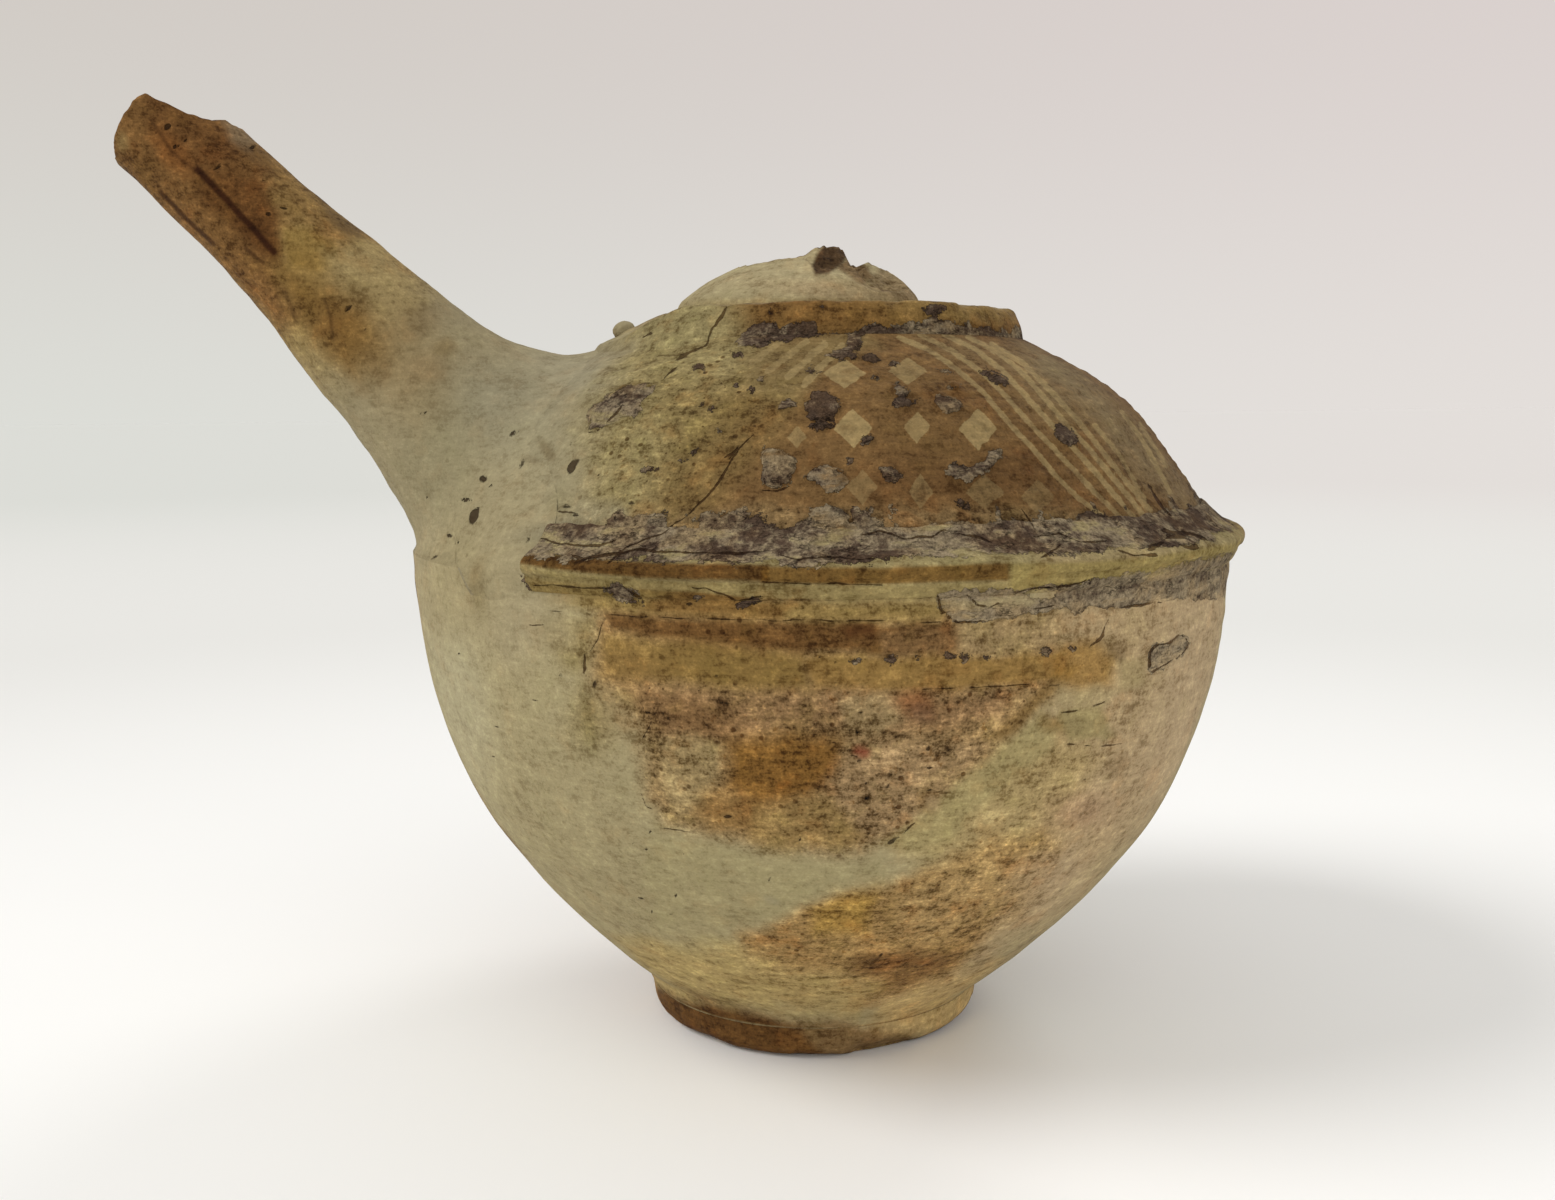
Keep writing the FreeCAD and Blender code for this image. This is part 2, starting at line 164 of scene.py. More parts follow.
def spline(knots, values, at):
    """A natural cubic spline through the values at the knots, read at other places: pieces of third
    degree that meet with the same slope and bend, and no bend at the two ends."""
    knots, values, at = (np.asarray(v, float) for v in (knots, values, at))
    values = values.reshape(len(knots), -1)
    gap = np.diff(knots)
    size = len(knots)
    system = np.eye(size)
    inner = np.arange(1, size - 1)
    system[inner, inner - 1] = gap[:-1]
    system[inner, inner] = 2.0 * (gap[:-1] + gap[1:])
    system[inner, inner + 1] = gap[1:]
    pull = np.zeros_like(values)
    pull[1:-1] = 6.0 * np.diff(np.diff(values, axis=0) / gap[:, None], axis=0)
    bend = np.linalg.solve(system, pull)
    where = np.clip(at.ravel(), knots[0], knots[-1])
    k = np.clip(np.searchsorted(knots, where, side="right") - 1, 0, size - 2)
    width = gap[k][:, None]
    b = (where[:, None] - knots[k][:, None]) / width
    a = 1.0 - b
    curve = a * values[k] + b * values[k + 1] + (
        (a**3 - a) * bend[k] + (b**3 - b) * bend[k + 1]
    ) * width**2 / 6.0
    return curve.reshape(at.shape + (values.shape[1],))


def curve_run(corners, spacing):
    """A smooth curve through corners, read at even steps of its chord length."""
    corners = np.asarray(corners, float)
    knots = np.concatenate([[0.0], np.cumsum(np.linalg.norm(np.diff(corners, axis=0), axis=1))])
    return spline(knots, corners, np.linspace(0.0, knots[-1], max(2, int(round(knots[-1] / spacing)) + 1)))


def straight_run(corners, spacing):
    """Straight runs from corner to corner, each cut into even steps."""
    corners = np.asarray(corners, float)
    runs = []
    for start, end in zip(corners, corners[1:]):
        steps = max(1, int(round(np.linalg.norm(end - start) / spacing)))
        runs.append(between(start, end, np.arange(steps)[:, None] / steps))
    return np.concatenate(runs + [corners[-1:]])


def lattice_share(i, j, k, seed):
    """A fixed share from 0 to 1 for each corner of a cubic lattice: its whole-number place, multiplied
    and mixed."""
    h = (i * 374761393 + j * 668265263 + k * 1440662683 + seed * 974634777) & 0xFFFFFFFF
    h = ((h ^ (h >> 13)) * 1274126177) & 0xFFFFFFFF
    return ((h ^ (h >> 16)) & 0xFFFFFF) / 0xFFFFFF


def lumps(points, size, seed):
    """Soft noise from -1 to 1: shares at the corners of cubes of that size, blended smoothly inside each
    cube."""
    p = points / size
    whole = np.floor(p).astype(np.int64)
    t = p - whole
    t = t * t * (3.0 - 2.0 * t)
    total = 0.0
    for corner in range(8):
        dx, dy, dz = corner & 1, (corner >> 1) & 1, corner >> 2
        weight = np.abs(1 - dx - t[..., 0]) * np.abs(1 - dy - t[..., 1]) * np.abs(1 - dz - t[..., 2])
        total = total + weight * lattice_share(
            whole[..., 0] + dx, whole[..., 1] + dy, whole[..., 2] + dz, seed,
        )
    return 2.0 * total - 1.0


def ragged(points, size, seed, layers=3):
    """Several layers of soft noise, each half as large and half as strong as the last."""
    return sum(lumps(points, size / 2**n, seed + n) / 2**n for n in range(layers))


# The picture's view

def view_axes():
    """The camera's right, up and forward directions: its heading, tipped by the pitch, then rolled."""
    heading = camera_turn - camera_bearing
    flat, tip = math.cos(camera_pitch), math.sin(camera_pitch)
    forward = np.array((-math.sin(heading) * flat, math.cos(heading) * flat, -tip))
    level = np.array((math.cos(heading), math.sin(heading), 0.0))
    rise = np.cross(level, forward)
    c, s = math.cos(camera_roll), math.sin(camera_roll)
    return c * level + s * rise, c * rise - s * level, forward


eye_x = -camera_distance * math.sin(camera_bearing)
eye_y = -camera_distance * math.cos(camera_bearing)
eye = np.array((eye_x, eye_y, camera_height))
view_right, view_up, view_forward = view_axes()


def picture_place(points):
    """Where points fall in the picture: across and down from its middle, by lens length over depth."""
    away = points - eye
    depth = away @ view_forward
    x = picture_middle[0] + lens_pixels * (away @ view_right) / depth
    y = picture_middle[1] - lens_pixels * (away @ view_up) / depth
    return x, y


def facing(points, normals):
    """How squarely a surface faces the picture's camera: 1 head on, 0 edge on, less on the far side."""
    away = eye - points
    return (away * normals).sum(-1) / np.linalg.norm(away, axis=-1)


# Grids and meshes

def bearings(count, start=0.0, end=360.0):
    """Directions round the upright axis, closer together on the side that faces the picture:
    an even share t of the turn, less a sine of it."""
    t = np.linspace(-1.0, 1.0, 8001)
    spread = 256.0 + 360.0 * t - 0.6 * np.degrees(np.sin(2.0 * math.pi * t))
    if end - start >= 360.0:
        return np.radians(np.interp(np.arange(count) / count - 0.5, t, spread))
    low, high = np.interp([start, end], spread, t)
    return np.radians(np.interp(np.linspace(low, high, count), t, spread))


def turned(run, angles, offset=0.0):
    """An outline of (radius, height) turned about the upright axis, set off towards the spout."""
    radius, height = run[:, :1], run[:, 1:]
    return np.stack([radius * np.cos(angles) - offset, radius * np.sin(angles), height + 0.0 * angles], -1)


def grid_normals(grid, ring_rows, ring_columns=True):
    """Outward directions of a grid: the cross product of its steps along a row and up a column."""
    across = np.roll(grid, -1, 1) - np.roll(grid, 1, 1)
    if not ring_columns:
        across[:, 0] = grid[:, 1] - grid[:, 0]
        across[:, -1] = grid[:, -1] - grid[:, -2]
    along = np.roll(grid, -1, 0) - np.roll(grid, 1, 0)
    if not ring_rows:
        along[0] = grid[1] - grid[0]
        along[-1] = grid[-1] - grid[-2]
    normal = np.cross(across, along)
    return normal / np.maximum(np.linalg.norm(normal, axis=-1, keepdims=True), 1e-9)


def grid_faces(rows, columns, ring_rows, ring_columns):
    """The four-cornered faces between neighbouring rows and columns, closed into a ring where asked."""
    index = np.arange(rows * columns).reshape(rows, columns)
    if ring_columns:
        index = np.concatenate([index, index[:, :1]], 1)
    if ring_rows:
        index = np.concatenate([index, index[:1]], 0)
    return np.stack([index[:-1, :-1], index[:-1, 1:], index[1:, 1:], index[1:, :-1]], -1).reshape(-1, 4)


def pole_faces(row, columns, pole, last):
    """Triangles from one row of points to a single point that closes it."""
    start = row * columns + np.arange(columns)
    follow = np.roll(start, -1)
    middle = np.full(columns, pole)
    return np.stack([start, follow, middle] if last else [follow, start, middle], -1)


def lay_mesh(name, grid, ring_rows=False, poles=(), ring_columns=True, crease=42.0):
    """A grid of points as one mesh object. poles are the points that close the first and the last row."""
    rows, columns = grid.shape[:2]
    points = grid.reshape(-1, 3)
    quads = grid_faces(rows, columns, ring_rows, ring_columns)
    triangles = np.zeros((0, 3), int)
    if len(poles):
        points = np.concatenate([points, np.asarray(poles, float)])
        bottom = pole_faces(0, columns, rows * columns, False)
        top = pole_faces(rows - 1, columns, rows * columns + 1, True)
        triangles = np.concatenate([bottom, top])
    mesh = bpy.data.meshes.new(name)
    mesh.vertices.add(len(points))
    mesh.vertices.foreach_set("co", (points * mm).astype(np.float32).ravel())
    mesh.loops.add(quads.size + triangles.size)
    mesh.loops.foreach_set(
        "vertex_index", np.concatenate([quads.ravel(), triangles.ravel()]).astype(np.int32),
    )
    mesh.polygons.add(len(quads) + len(triangles))
    starts = np.concatenate([np.arange(len(quads)) * 4, quads.size + np.arange(len(triangles)) * 3])
    mesh.polygons.foreach_set("loop_start", starts.astype(np.int32))
    mesh.update(calc_edges=True)
    mesh.shade_smooth()
    mesh.set_sharp_from_angle(angle=math.radians(crease))
    obj = bpy.data.objects.new(name, mesh)
    bpy.context.scene.collection.objects.link(obj)
    return obj


def mesh_arrays(obj):
    """The points of a mesh in millimetres and its outward directions."""
    count = len(obj.data.vertices)
    points, normals = np.zeros(count * 3, np.float32), np.zeros(count * 3, np.float32)
    obj.data.vertices.foreach_get("co", points)
    obj.data.vertex_normals.foreach_get("vector", normals)
    return points.reshape(-1, 3).astype(float) / mm, normals.reshape(-1, 3).astype(float)


# Colours of clay, crust and stain

def card(red, green, blue):
    """A colour read off a colour card, 0 to 255, as linear light."""
    c = np.array((red, green, blue)) / 255.0
    return np.where(c <= 0.04045, c / 12.92, ((c + 0.055) / 1.055) ** 2.4)


def tone(red, green, blue, mottle=1.0, flecks=1.0):
    """A card's colour, and how strongly it is mottled and flecked with dark specks."""
    return np.concatenate([card(red, green, blue), (mottle, flecks)])


cream = tone(152, 140, 105, 0.5, 0.4)
tan = tone(157, 135, 100, 0.9, 0.6)
pink_tan = tone(168, 147, 115, 0.55, 0.4)
slip_brown = tone(112, 85, 51, 1.0, 1.0)
slip_light = tone(142, 128, 88, 1.0, 1.0)
warm_brown = tone(128, 98, 58, 1.4, 1.2)
dark_brown = tone(98, 68, 34, 1.3, 1.1)
grey_clay = tone(137, 130, 106, 0.45, 0.4)
root_clay = tone(147, 135, 104, 0.42, 0.35)
spout_yellow = tone(148, 126, 80, 0.9, 0.6)
spout_brown = tone(116, 83, 46, 1.4, 1.3)
neck_buff = tone(160, 147, 112, 0.6, 0.4)
collar_brown = tone(119, 90, 50, 1.2, 1.3)
smear_clay = tone(140, 127, 87, 1.1, 1.1)
inner_clay = tone(120, 98, 70, 1.0, 1.0)

# Patches: softness of the edge in pixels, strength, colour, and the corners of the outline
lip_patches = (
    # Painted shade: the darkest patch is shade in the undercut below the left of the flange's lip.
    (3, 0.95, tone(70, 44, 18, 1.6, 1.5), (
        (640, 582), (700, 585), (724, 592), (752, 601), (730, 606), (690, 600), (640, 594),
    )),
    (6, 0.8, tone(134, 112, 64), (
        (524, 578), (640, 588), (700, 592), (760, 600), (850, 602), (945, 600), (945, 620), (840, 622),
        (700, 616), (600, 610), (535, 606),
    )),
    (6, 0.7, tone(112, 80, 40, 1.2, 1.0), (
        (650, 600), (690, 588), (725, 592), (760, 601), (790, 606), (780, 620), (680, 614), (640, 610),
    )),
    (2.5, 0.92, tone(88, 58, 22, 1.5, 1.5), (
        (505, 548), (560, 556), (640, 562), (770, 565), (770, 582), (640, 578), (560, 571), (512, 562),
    )),
    (2.5, 0.88, tone(106, 76, 32, 1.3, 1.3), (
        (762, 566), (880, 567), (1010, 563), (1010, 580), (880, 584), (762, 583),
    )),
    (2, 0.85, tone(146, 129, 84, 0.8, 0.6), (
        (515, 566), (560, 573), (640, 580), (760, 585), (900, 586), (1010, 582), (1010, 590), (940, 597),
        (880, 600), (760, 599), (700, 592), (640, 588), (560, 582),
    )),
    (3, 0.85, tone(142, 125, 74, 0.9, 0.8), (
        (1010, 564), (1080, 562), (1160, 556), (1240, 542), (1230, 558), (1160, 575), (1080, 587),
        (1010, 591),
    )),
)
bowl_patches = (
    (34, 0.9, tone(163, 140, 104, 1.0, 0.6), (
        (1050, 560), (1250, 560), (1250, 700), (1190, 760), (1130, 850), (1070, 905), (1000, 950),
        (960, 990), (900, 990), (930, 930), (980, 880), (1020, 820), (1040, 760), (1060, 700),
    )),
    (20, 0.8, tone(158, 137, 92, 1.2, 0.9), (
        (940, 745), (1000, 735), (1060, 740), (1100, 760), (1070, 830), (1010, 870), (960, 870),
        (900, 860), (890, 845), (925, 815),
    )),
    (14, 0.85, tone(164, 145, 94, 0.9, 0.6), (
        (640, 940), (700, 944), (745, 948), (770, 1000), (720, 1000), (680, 985), (655, 968),
    )),
    (16, 0.9, tone(137, 110, 71, 2.4, 2.2), (
        (588, 596), (586, 640), (598, 678), (622, 700), (636, 730), (642, 770), (646, 800), (664, 826),
        (700, 832), (756, 842), (800, 852), (836, 858), (868, 852), (888, 838), (915, 815), (938, 802),
        (962, 788), (985, 768), (1000, 745), (1030, 722), (1056, 700), (1062, 650), (1050, 612),
        (900, 600), (760, 590),
    )),
    (10, 0.85, tone(118, 94, 48, 0.8, 0.6), (
        (600, 634), (700, 638), (806, 652), (812, 690), (740, 690), (680, 684), (640, 682), (606, 676),
        (598, 650),
    )),
    # Painted shade: this dark band just under the flange, and the darker spot in it four lines down, is the
    # shade under the flange.
    (5, 0.85, tone(92, 61, 27, 1.3, 1.1), (
        (600, 613), (680, 615), (760, 620), (880, 621), (960, 624), (962, 652), (880, 653), (820, 653),
        (760, 646), (680, 637), (610, 630),
    )),
    (5, 0.8, tone(78, 47, 22, 0.9, 0.8), ((838, 623), (878, 621), (878, 634), (850, 640))),
    (6, 0.6, tone(120, 93, 60, 1.9, 1.8), ((884, 628), (962, 626), (962, 654), (884, 654))),
    (5, 0.85, tone(134, 105, 56, 0.7, 0.7), (
        (806, 658), (900, 656), (1000, 655), (1062, 654), (1062, 682), (1000, 686), (900, 688), (816, 690),
    )),
    (8, 0.8, tone(147, 125, 88, 1.1, 0.7), ((962, 620), (1060, 612), (1062, 648), (962, 652))),
    (12, 0.75, tone(120, 92, 62, 2.1, 2.0), (
        (638, 690), (760, 690), (840, 692), (900, 694), (1010, 690), (1005, 716), (950, 728), (900, 735),
        (840, 730), (780, 730), (700, 745), (655, 740), (640, 712),
    )),
    (8, 0.75, tone(143, 123, 86, 1.5, 1.0), (
        (834, 702), (862, 690), (895, 694), (902, 720), (880, 735), (842, 732),
    )),
    (9, 0.75, tone(142, 124, 86, 1.3, 1.0), (
        (652, 742), (690, 737), (716, 747), (712, 780), (700, 808), (676, 814), (660, 790),
    )),
    (14, 0.9, tone(112, 78, 32, 1.7, 1.4), (
        (722, 742), (790, 730), (840, 742), (838, 770), (810, 800), (760, 806), (722, 790),
    )),
    (13, 0.8, tone(143, 118, 84, 1.9, 1.9), (
        (842, 742), (900, 738), (960, 740), (985, 750), (960, 785), (925, 810), (900, 832), (860, 842),
        (830, 820), (826, 780),
    )),
    (12, 0.6, tone(120, 88, 42), ((700, 792), (760, 798), (770, 830), (710, 832), (690, 810))),
    (10, 0.7, tone(132, 108, 64, 1.3, 1.0), (
        (760, 806), (830, 800), (866, 836), (850, 850), (790, 848), (750, 838),
    )),
    (7, 0.85, tone(150, 136, 93, 0.8, 0.5), (
        (1045, 716), (1012, 742), (975, 772), (940, 800), (900, 832), (884, 848), (905, 858), (950, 840),
        (985, 806), (1010, 780), (1050, 756), (1062, 732),
    )),
    (5, 0.65, tone(120, 92, 48), (
        (1058, 672), (1078, 668), (1064, 694), (1040, 712), (1018, 734), (1000, 744), (984, 744),
        (1008, 722), (1036, 700),
    )),
    (10, 0.75, tone(138, 103, 44, 1.0, 0.9), (
        (1058, 648), (1095, 644), (1116, 656), (1112, 684), (1070, 688), (1056, 676),
    )),
    (6, 0.65, tone(151, 135, 97, 0.8, 0.5), (
        (1062, 690), (1100, 680), (1118, 690), (1104, 704), (1066, 710),
    )),
    (4, 0.9, tone(140, 126, 85, 0.7, 0.4), (
        (1063, 712), (1100, 703), (1108, 722), (1112, 740), (1070, 745), (1058, 728),
    )),
    (6, 0.75, tone(151, 134, 94, 0.6, 0.4), ((1118, 660), (1146, 660), (1146, 688), (1120, 690))),
    (10, 0.8, tone(130, 113, 70, 1.1, 0.8), (
        (533, 618), (590, 616), (592, 668), (566, 664), (548, 648), (536, 634),
    )),
    (10, 0.8, tone(151, 140, 102, 0.5, 0.4), (
        (650, 840), (700, 842), (760, 852), (840, 868), (880, 866), (890, 880), (840, 890), (800, 900),
        (780, 920), (720, 934), (660, 930), (640, 890),
    )),
    (11, 0.9, tone(144, 114, 68, 1.9, 1.9), (
        (738, 938), (770, 930), (800, 902), (832, 893), (862, 892), (896, 882), (940, 864), (985, 842),
        (1040, 826), (1062, 850), (1045, 890), (1000, 925), (965, 958), (945, 985), (880, 1002),
        (800, 1000), (765, 985), (745, 960),
    )),
    (10, 0.75, tone(156, 124, 60, 1.3, 1.4), ((808, 905), (840, 894), (872, 896), (866, 930), (820, 934))),
    (11, 0.7, tone(104, 73, 40, 1.7, 1.8), (
        (860, 954), (910, 950), (962, 946), (955, 966), (920, 985), (870, 992), (852, 978),
    )),
    (14, 0.65, tone(156, 130, 86, 1.6, 1.3), (
        (900, 890), (980, 850), (1040, 840), (1040, 890), (990, 925), (940, 940), (900, 930),
    )),
)
foot_patches = (
    (12, 0.85, tone(164, 143, 94, 0.9, 0.6), (
        (620, 940), (700, 950), (780, 965), (880, 985), (860, 1014), (760, 1010), (690, 1002), (640, 985),
    )),
    # Painted shadow: the dark patch low on the foot's left is the contact shadow under the jar, and the
    # brown under its front below is partly that shadow and partly stained clay.
    (8, 0.95, tone(90, 58, 24, 1.3, 1.0), (
        (630, 980), (672, 992), (740, 1008), (800, 1026), (830, 1068), (700, 1064), (640, 1024),
    )),
    (9, 0.75, tone(114, 80, 42, 1.3, 1.0), (
        (780, 1018), (860, 1020), (920, 1026), (905, 1045), (840, 1066), (780, 1060),
    )),
    (16, 0.95, tone(182, 155, 104, 0.8, 0.6), (
        (880, 1000), (940, 985), (1000, 965), (1000, 1010), (940, 1040), (880, 1024),
    )),
)
dome_patches = (
    (30, 0.9, tone(144, 130, 88, 1.3, 1.8), (
        (520, 330), (620, 310), (740, 320), (765, 345), (725, 400), (695, 440), (665, 490), (640, 560),
        (520, 560),
    )),
    (24, 0.6, tone(122, 102, 60, 1.6, 2.6), (
        (660, 380), (780, 380), (800, 400), (770, 440), (700, 520), (660, 530), (660, 470),
    )),
    (12, 0.6, tone(128, 111, 72, 0.9, 0.6), (
        (740, 352), (800, 330), (870, 330), (880, 345), (840, 362), (790, 402), (750, 392),
    )),
    (18, 0.7, tone(130, 115, 84, 0.8, 0.4), (
        (1010, 320), (1060, 350), (1110, 400), (1150, 450), (1200, 510), (1150, 480), (1100, 425),
        (1040, 378),
    )),
    (20, 0.5, tone(122, 102, 68, 0.9, 0.5), (
        (900, 335), (1010, 345), (1100, 420), (1060, 430), (1000, 372), (930, 352),
    )),
    (20, 0.6, tone(98, 70, 40, 1.1, 1.2), (
        (860, 445), (960, 462), (1040, 430), (1080, 500), (1000, 505), (860, 505),
    )),
    (10, 0.6, tone(122, 101, 68, 2.4, 2.3), (
        (640, 512), (760, 506), (880, 506), (1000, 508), (1120, 512), (1200, 518), (1200, 560), (640, 560),
    )),
    (12, 0.7, tone(136, 126, 98, 1.3, 1.3), ((520, 505), (620, 502), (660, 532), (640, 565), (520, 550))),
)
neck_patches = (
    (4, 0.8, tone(130, 112, 82, 1.2, 1.0), (
        (872, 278), (886, 262), (900, 262), (914, 278), (926, 296), (880, 288),
    )),
    (3, 0.9, tone(104, 82, 55, 1.4, 1.2), (
        (843, 262), (852, 256), (866, 266), (874, 278), (862, 284), (846, 274), (836, 268),
    )),
    # Painted shadow: the darkest patch is shade in the facet of the neck's break that turns from the light.
    (2.5, 0.95, tone(62, 42, 24, 1.4, 1.4), (
        (815, 275), (812, 266), (818, 252), (826, 243), (842, 242), (848, 256), (842, 264), (829, 274),
    )),
)
spout_patches = (
    (19, 0.95, spout_brown, (
        (90, 70), (255, 100), (282, 160), (284, 225), (278, 250), (290, 290), (300, 320), (280, 332),
        (220, 282), (150, 222), (90, 150),
    )),
    (9, 0.8, tone(88, 56, 26, 1.4, 1.3), (
        (190, 165), (260, 180), (282, 215), (276, 262), (240, 232), (205, 205),
    )),
    (14, 0.55, tone(98, 64, 33, 1.2, 1.3), (
        (140, 88), (200, 108), (245, 140), (240, 170), (180, 165), (150, 140),
    )),
    (8, 0.65, tone(134, 116, 88, 0.9, 0.6), ((222, 118), (240, 116), (262, 142), (246, 150), (228, 142))),
    (8, 0.6, tone(143, 115, 72, 0.9, 0.6), (
        (105, 150), (130, 180), (180, 232), (240, 290), (285, 335), (268, 340), (220, 290), (160, 235),
        (112, 180),
    )),
    (14, 0.85, tone(134, 104, 60, 1.2, 1.0), (
        (255, 150), (300, 175), (372, 232), (345, 252), (300, 222), (284, 225), (282, 190),
    )),
    (6, 0.85, tone(146, 120, 66, 0.9, 0.6), (
        (284, 226), (310, 224), (332, 240), (345, 262), (320, 272), (296, 268), (284, 250),
    )),
    (13, 0.85, tone(151, 132, 90, 0.8, 0.4), (
        (325, 252), (370, 250), (425, 300), (400, 332), (350, 312), (325, 286),
    )),
    (14, 0.8, tone(114, 84, 42, 1.3, 1.0), (
        (286, 272), (322, 292), (352, 320), (352, 372), (310, 342), (288, 312),
    )),
)

# Stains, and some painted light and shade: x, y, half width, half height, tilt, softness, strength, colour
bowl_stains_and_edge_light = (
    # Partly painted light: the pale pink strip down the bowl's right edge is light on its rim over pinkish
    # clay.
    (1195, 690, 40, 130, 8, 0.8, 0.7, pink_tan), (1050, 880, 40, 30, -40, 0.7, 0.5, pink_tan),
    (1080, 812, 34, 20, -10, 0.7, 0.7, tone(150, 122, 93)), (1150, 780, 44, 70, 20, 0.7, 0.4, pink_tan),
    (620, 690, 34, 40, 30, 0.8, 0.35, warm_brown), (590, 712, 7, 26, -8, 0.7, 0.5, tone(118, 106, 68)),
    (915, 700, 22, 12, 0, 0.6, 0.6, tone(136, 88, 52)),
    (857, 752, 9, 6, 0, 0.5, 0.9, tone(136, 72, 52, 0.8)),
    (925, 712, 16, 10, 0, 0.5, 0.6, tone(88, 62, 44)), (930, 801, 12, 14, 0, 0.4, 0.5, tone(112, 86, 50)),
    (935, 803, 7, 8, 0, 0.4, 0.5, tan), (1120, 770, 9, 14, 10, 0.6, 0.4, tone(120, 98, 66)),
    (1053, 727, 14, 9, 20, 0.5, 0.6, tone(122, 96, 52)),
    (1110, 648, 22, 9, 0, 0.6, 0.45, tone(122, 100, 64)),
    (1118, 655, 10, 6, 30, 0.5, 0.5, tone(104, 82, 54)), (560, 570, 60, 14, 6, 0.7, 0.4, slip_light),
    (460, 690, 20, 60, -14, 0.7, 0.35, grey_clay), (700, 900, 70, 30, 0, 0.8, 0.3, cream),
    (770, 900, 8, 4, 0, 0.6, 0.4, grey_clay),
    # Painted light: the pale grey strip down the bowl's left edge is light falling on that side.
    (452, 700, 30, 150, -6, 0.9, 0.55, tone(170, 161, 128, 0.35, 0.3)),
    (590, 720, 22, 30, 10, 0.8, 0.5, tone(118, 102, 60, 1.4, 1.2)),
    (700, 720, 44, 20, 10, 0.7, 0.4, dark_brown), (730, 640, 50, 12, 4, 0.7, 0.4, dark_brown),
)
neck_stains = (
    (850, 292, 90, 10, 4, 0.6, 0.6, tan), (900, 290, 34, 12, 14, 0.6, 0.7, tone(122, 100, 70)),
    (730, 300, 60, 16, 0, 0.6, 0.5, cream), (860, 285, 40, 8, 8, 0.6, 0.4, tone(140, 122, 86)),
    (800, 304, 110, 5, 0, 0.7, 0.5, tone(140, 118, 74)),
)
collar_stains = (
    (700, 325, 44, 34, 0, 0.5, 0.95, tone(140, 126, 86)),
    (960, 308, 80, 16, 0, 0.6, 0.6, tone(142, 118, 70)),
    (840, 315, 90, 12, 0, 0.6, 0.5, tone(116, 84, 42, 1.4, 1.4)),
)
root_stains_shade_and_highlight = (
    # Painted shade and highlight: the first grey stain is shade on the near side of the root, which faces
    # away from the light, and the pale one at 575, 370 is a painted highlight along the crest beside it.
    (510, 415, 60, 46, 25, 0.6, 0.75, tone(140, 133, 108, 0.4, 0.3)),
    (445, 460, 40, 60, 0, 0.7, 0.6, tone(134, 126, 96, 0.4, 0.4)),
    (575, 370, 50, 22, 8, 0.6, 0.7, tone(150, 142, 116, 0.4, 0.3)),
    (400, 360, 40, 60, -30, 0.7, 0.5, tone(142, 122, 84, 0.5, 0.5)),
    (425, 368, 20, 14, 0, 0.7, 0.5, tone(132, 110, 76, 0.5, 0.5)),
    (420, 322, 22, 14, -30, 0.7, 0.45, tone(128, 108, 76, 0.5, 0.5)),
    (545, 470, 60, 50, 0, 0.7, 0.6, tone(152, 142, 110, 0.4, 0.6)),
    (500, 540, 60, 50, 0, 0.7, 0.5, tone(150, 138, 104, 0.4, 0.6)),
    (455, 600, 40, 60, 0, 0.7, 0.5, tone(148, 135, 98, 0.4, 0.4)),
    (442, 348, 12, 8, 0, 0.7, 0.5, tone(118, 96, 60, 0.5, 0.5)),
    (548, 452, 11, 6, 50, 0.6, 0.6, tone(110, 94, 64, 0.5, 0.5)),
    (530, 463, 9, 4, 10, 0.6, 0.5, tone(118, 104, 76, 0.5, 0.5)),
    (560, 505, 14, 16, 30, 0.6, 0.4, tone(118, 108, 76, 0.5, 0.5)),
    (570, 532, 50, 12, -4, 0.6, 0.6, tone(126, 118, 94, 0.4, 1.0)),
    (482, 585, 8, 26, -4, 0.6, 0.5, tone(118, 102, 68, 0.5, 0.5)),
)
spout_stains = (
    (120, 141, 6, 10, -10, 0.6, 0.6, tone(150, 126, 80, 0.6, 0.3)),
    (344, 322, 20, 26, -35, 0.6, 0.5, warm_brown), (170, 152, 30, 12, 50, 0.6, 0.45, tone(126, 78, 36)),
    (345, 225, 26, 7, 38, 0.5, 0.7, tone(92, 72, 46)),
    (352, 332, 26, 46, -35, 0.8, 0.8, tone(116, 86, 42, 0.9, 0.8)),
    (302, 268, 24, 30, -40, 0.8, 0.55, tone(126, 96, 46, 0.8, 0.6)),
    (258, 236, 26, 13, 50, 0.6, 0.7, tone(82, 52, 24)), (330, 245, 5, 7, 20, 0.6, 0.6, tone(112, 90, 50)),
    (260, 160, 22, 7, 40, 0.6, 0.5, tone(86, 62, 36)), (215, 190, 26, 9, 50, 0.6, 0.3, dark_brown),
    (205, 262, 26, 8, 50, 0.6, 0.4, tone(138, 104, 66)),
)
# Dark streaks of the spout: half width in pixels, strength, then the places that each one runs through
spout_streaks = (
    (3.8, 0.95, (197, 169), (215, 188), (240, 214), (262, 238), (274, 252)),
    (2.6, 0.75, (160, 192), (185, 218), (213, 244)), (2.0, 0.6, (246, 248), (262, 262)),
    (1.8, 0.45, (324, 300), (330, 318), (332, 338)), (2.0, 0.4, (150, 120), (172, 152), (196, 172)),
    (2.4, 0.4, (284, 288), (296, 322)),
)
streak_brown = tone(48, 24, 10)

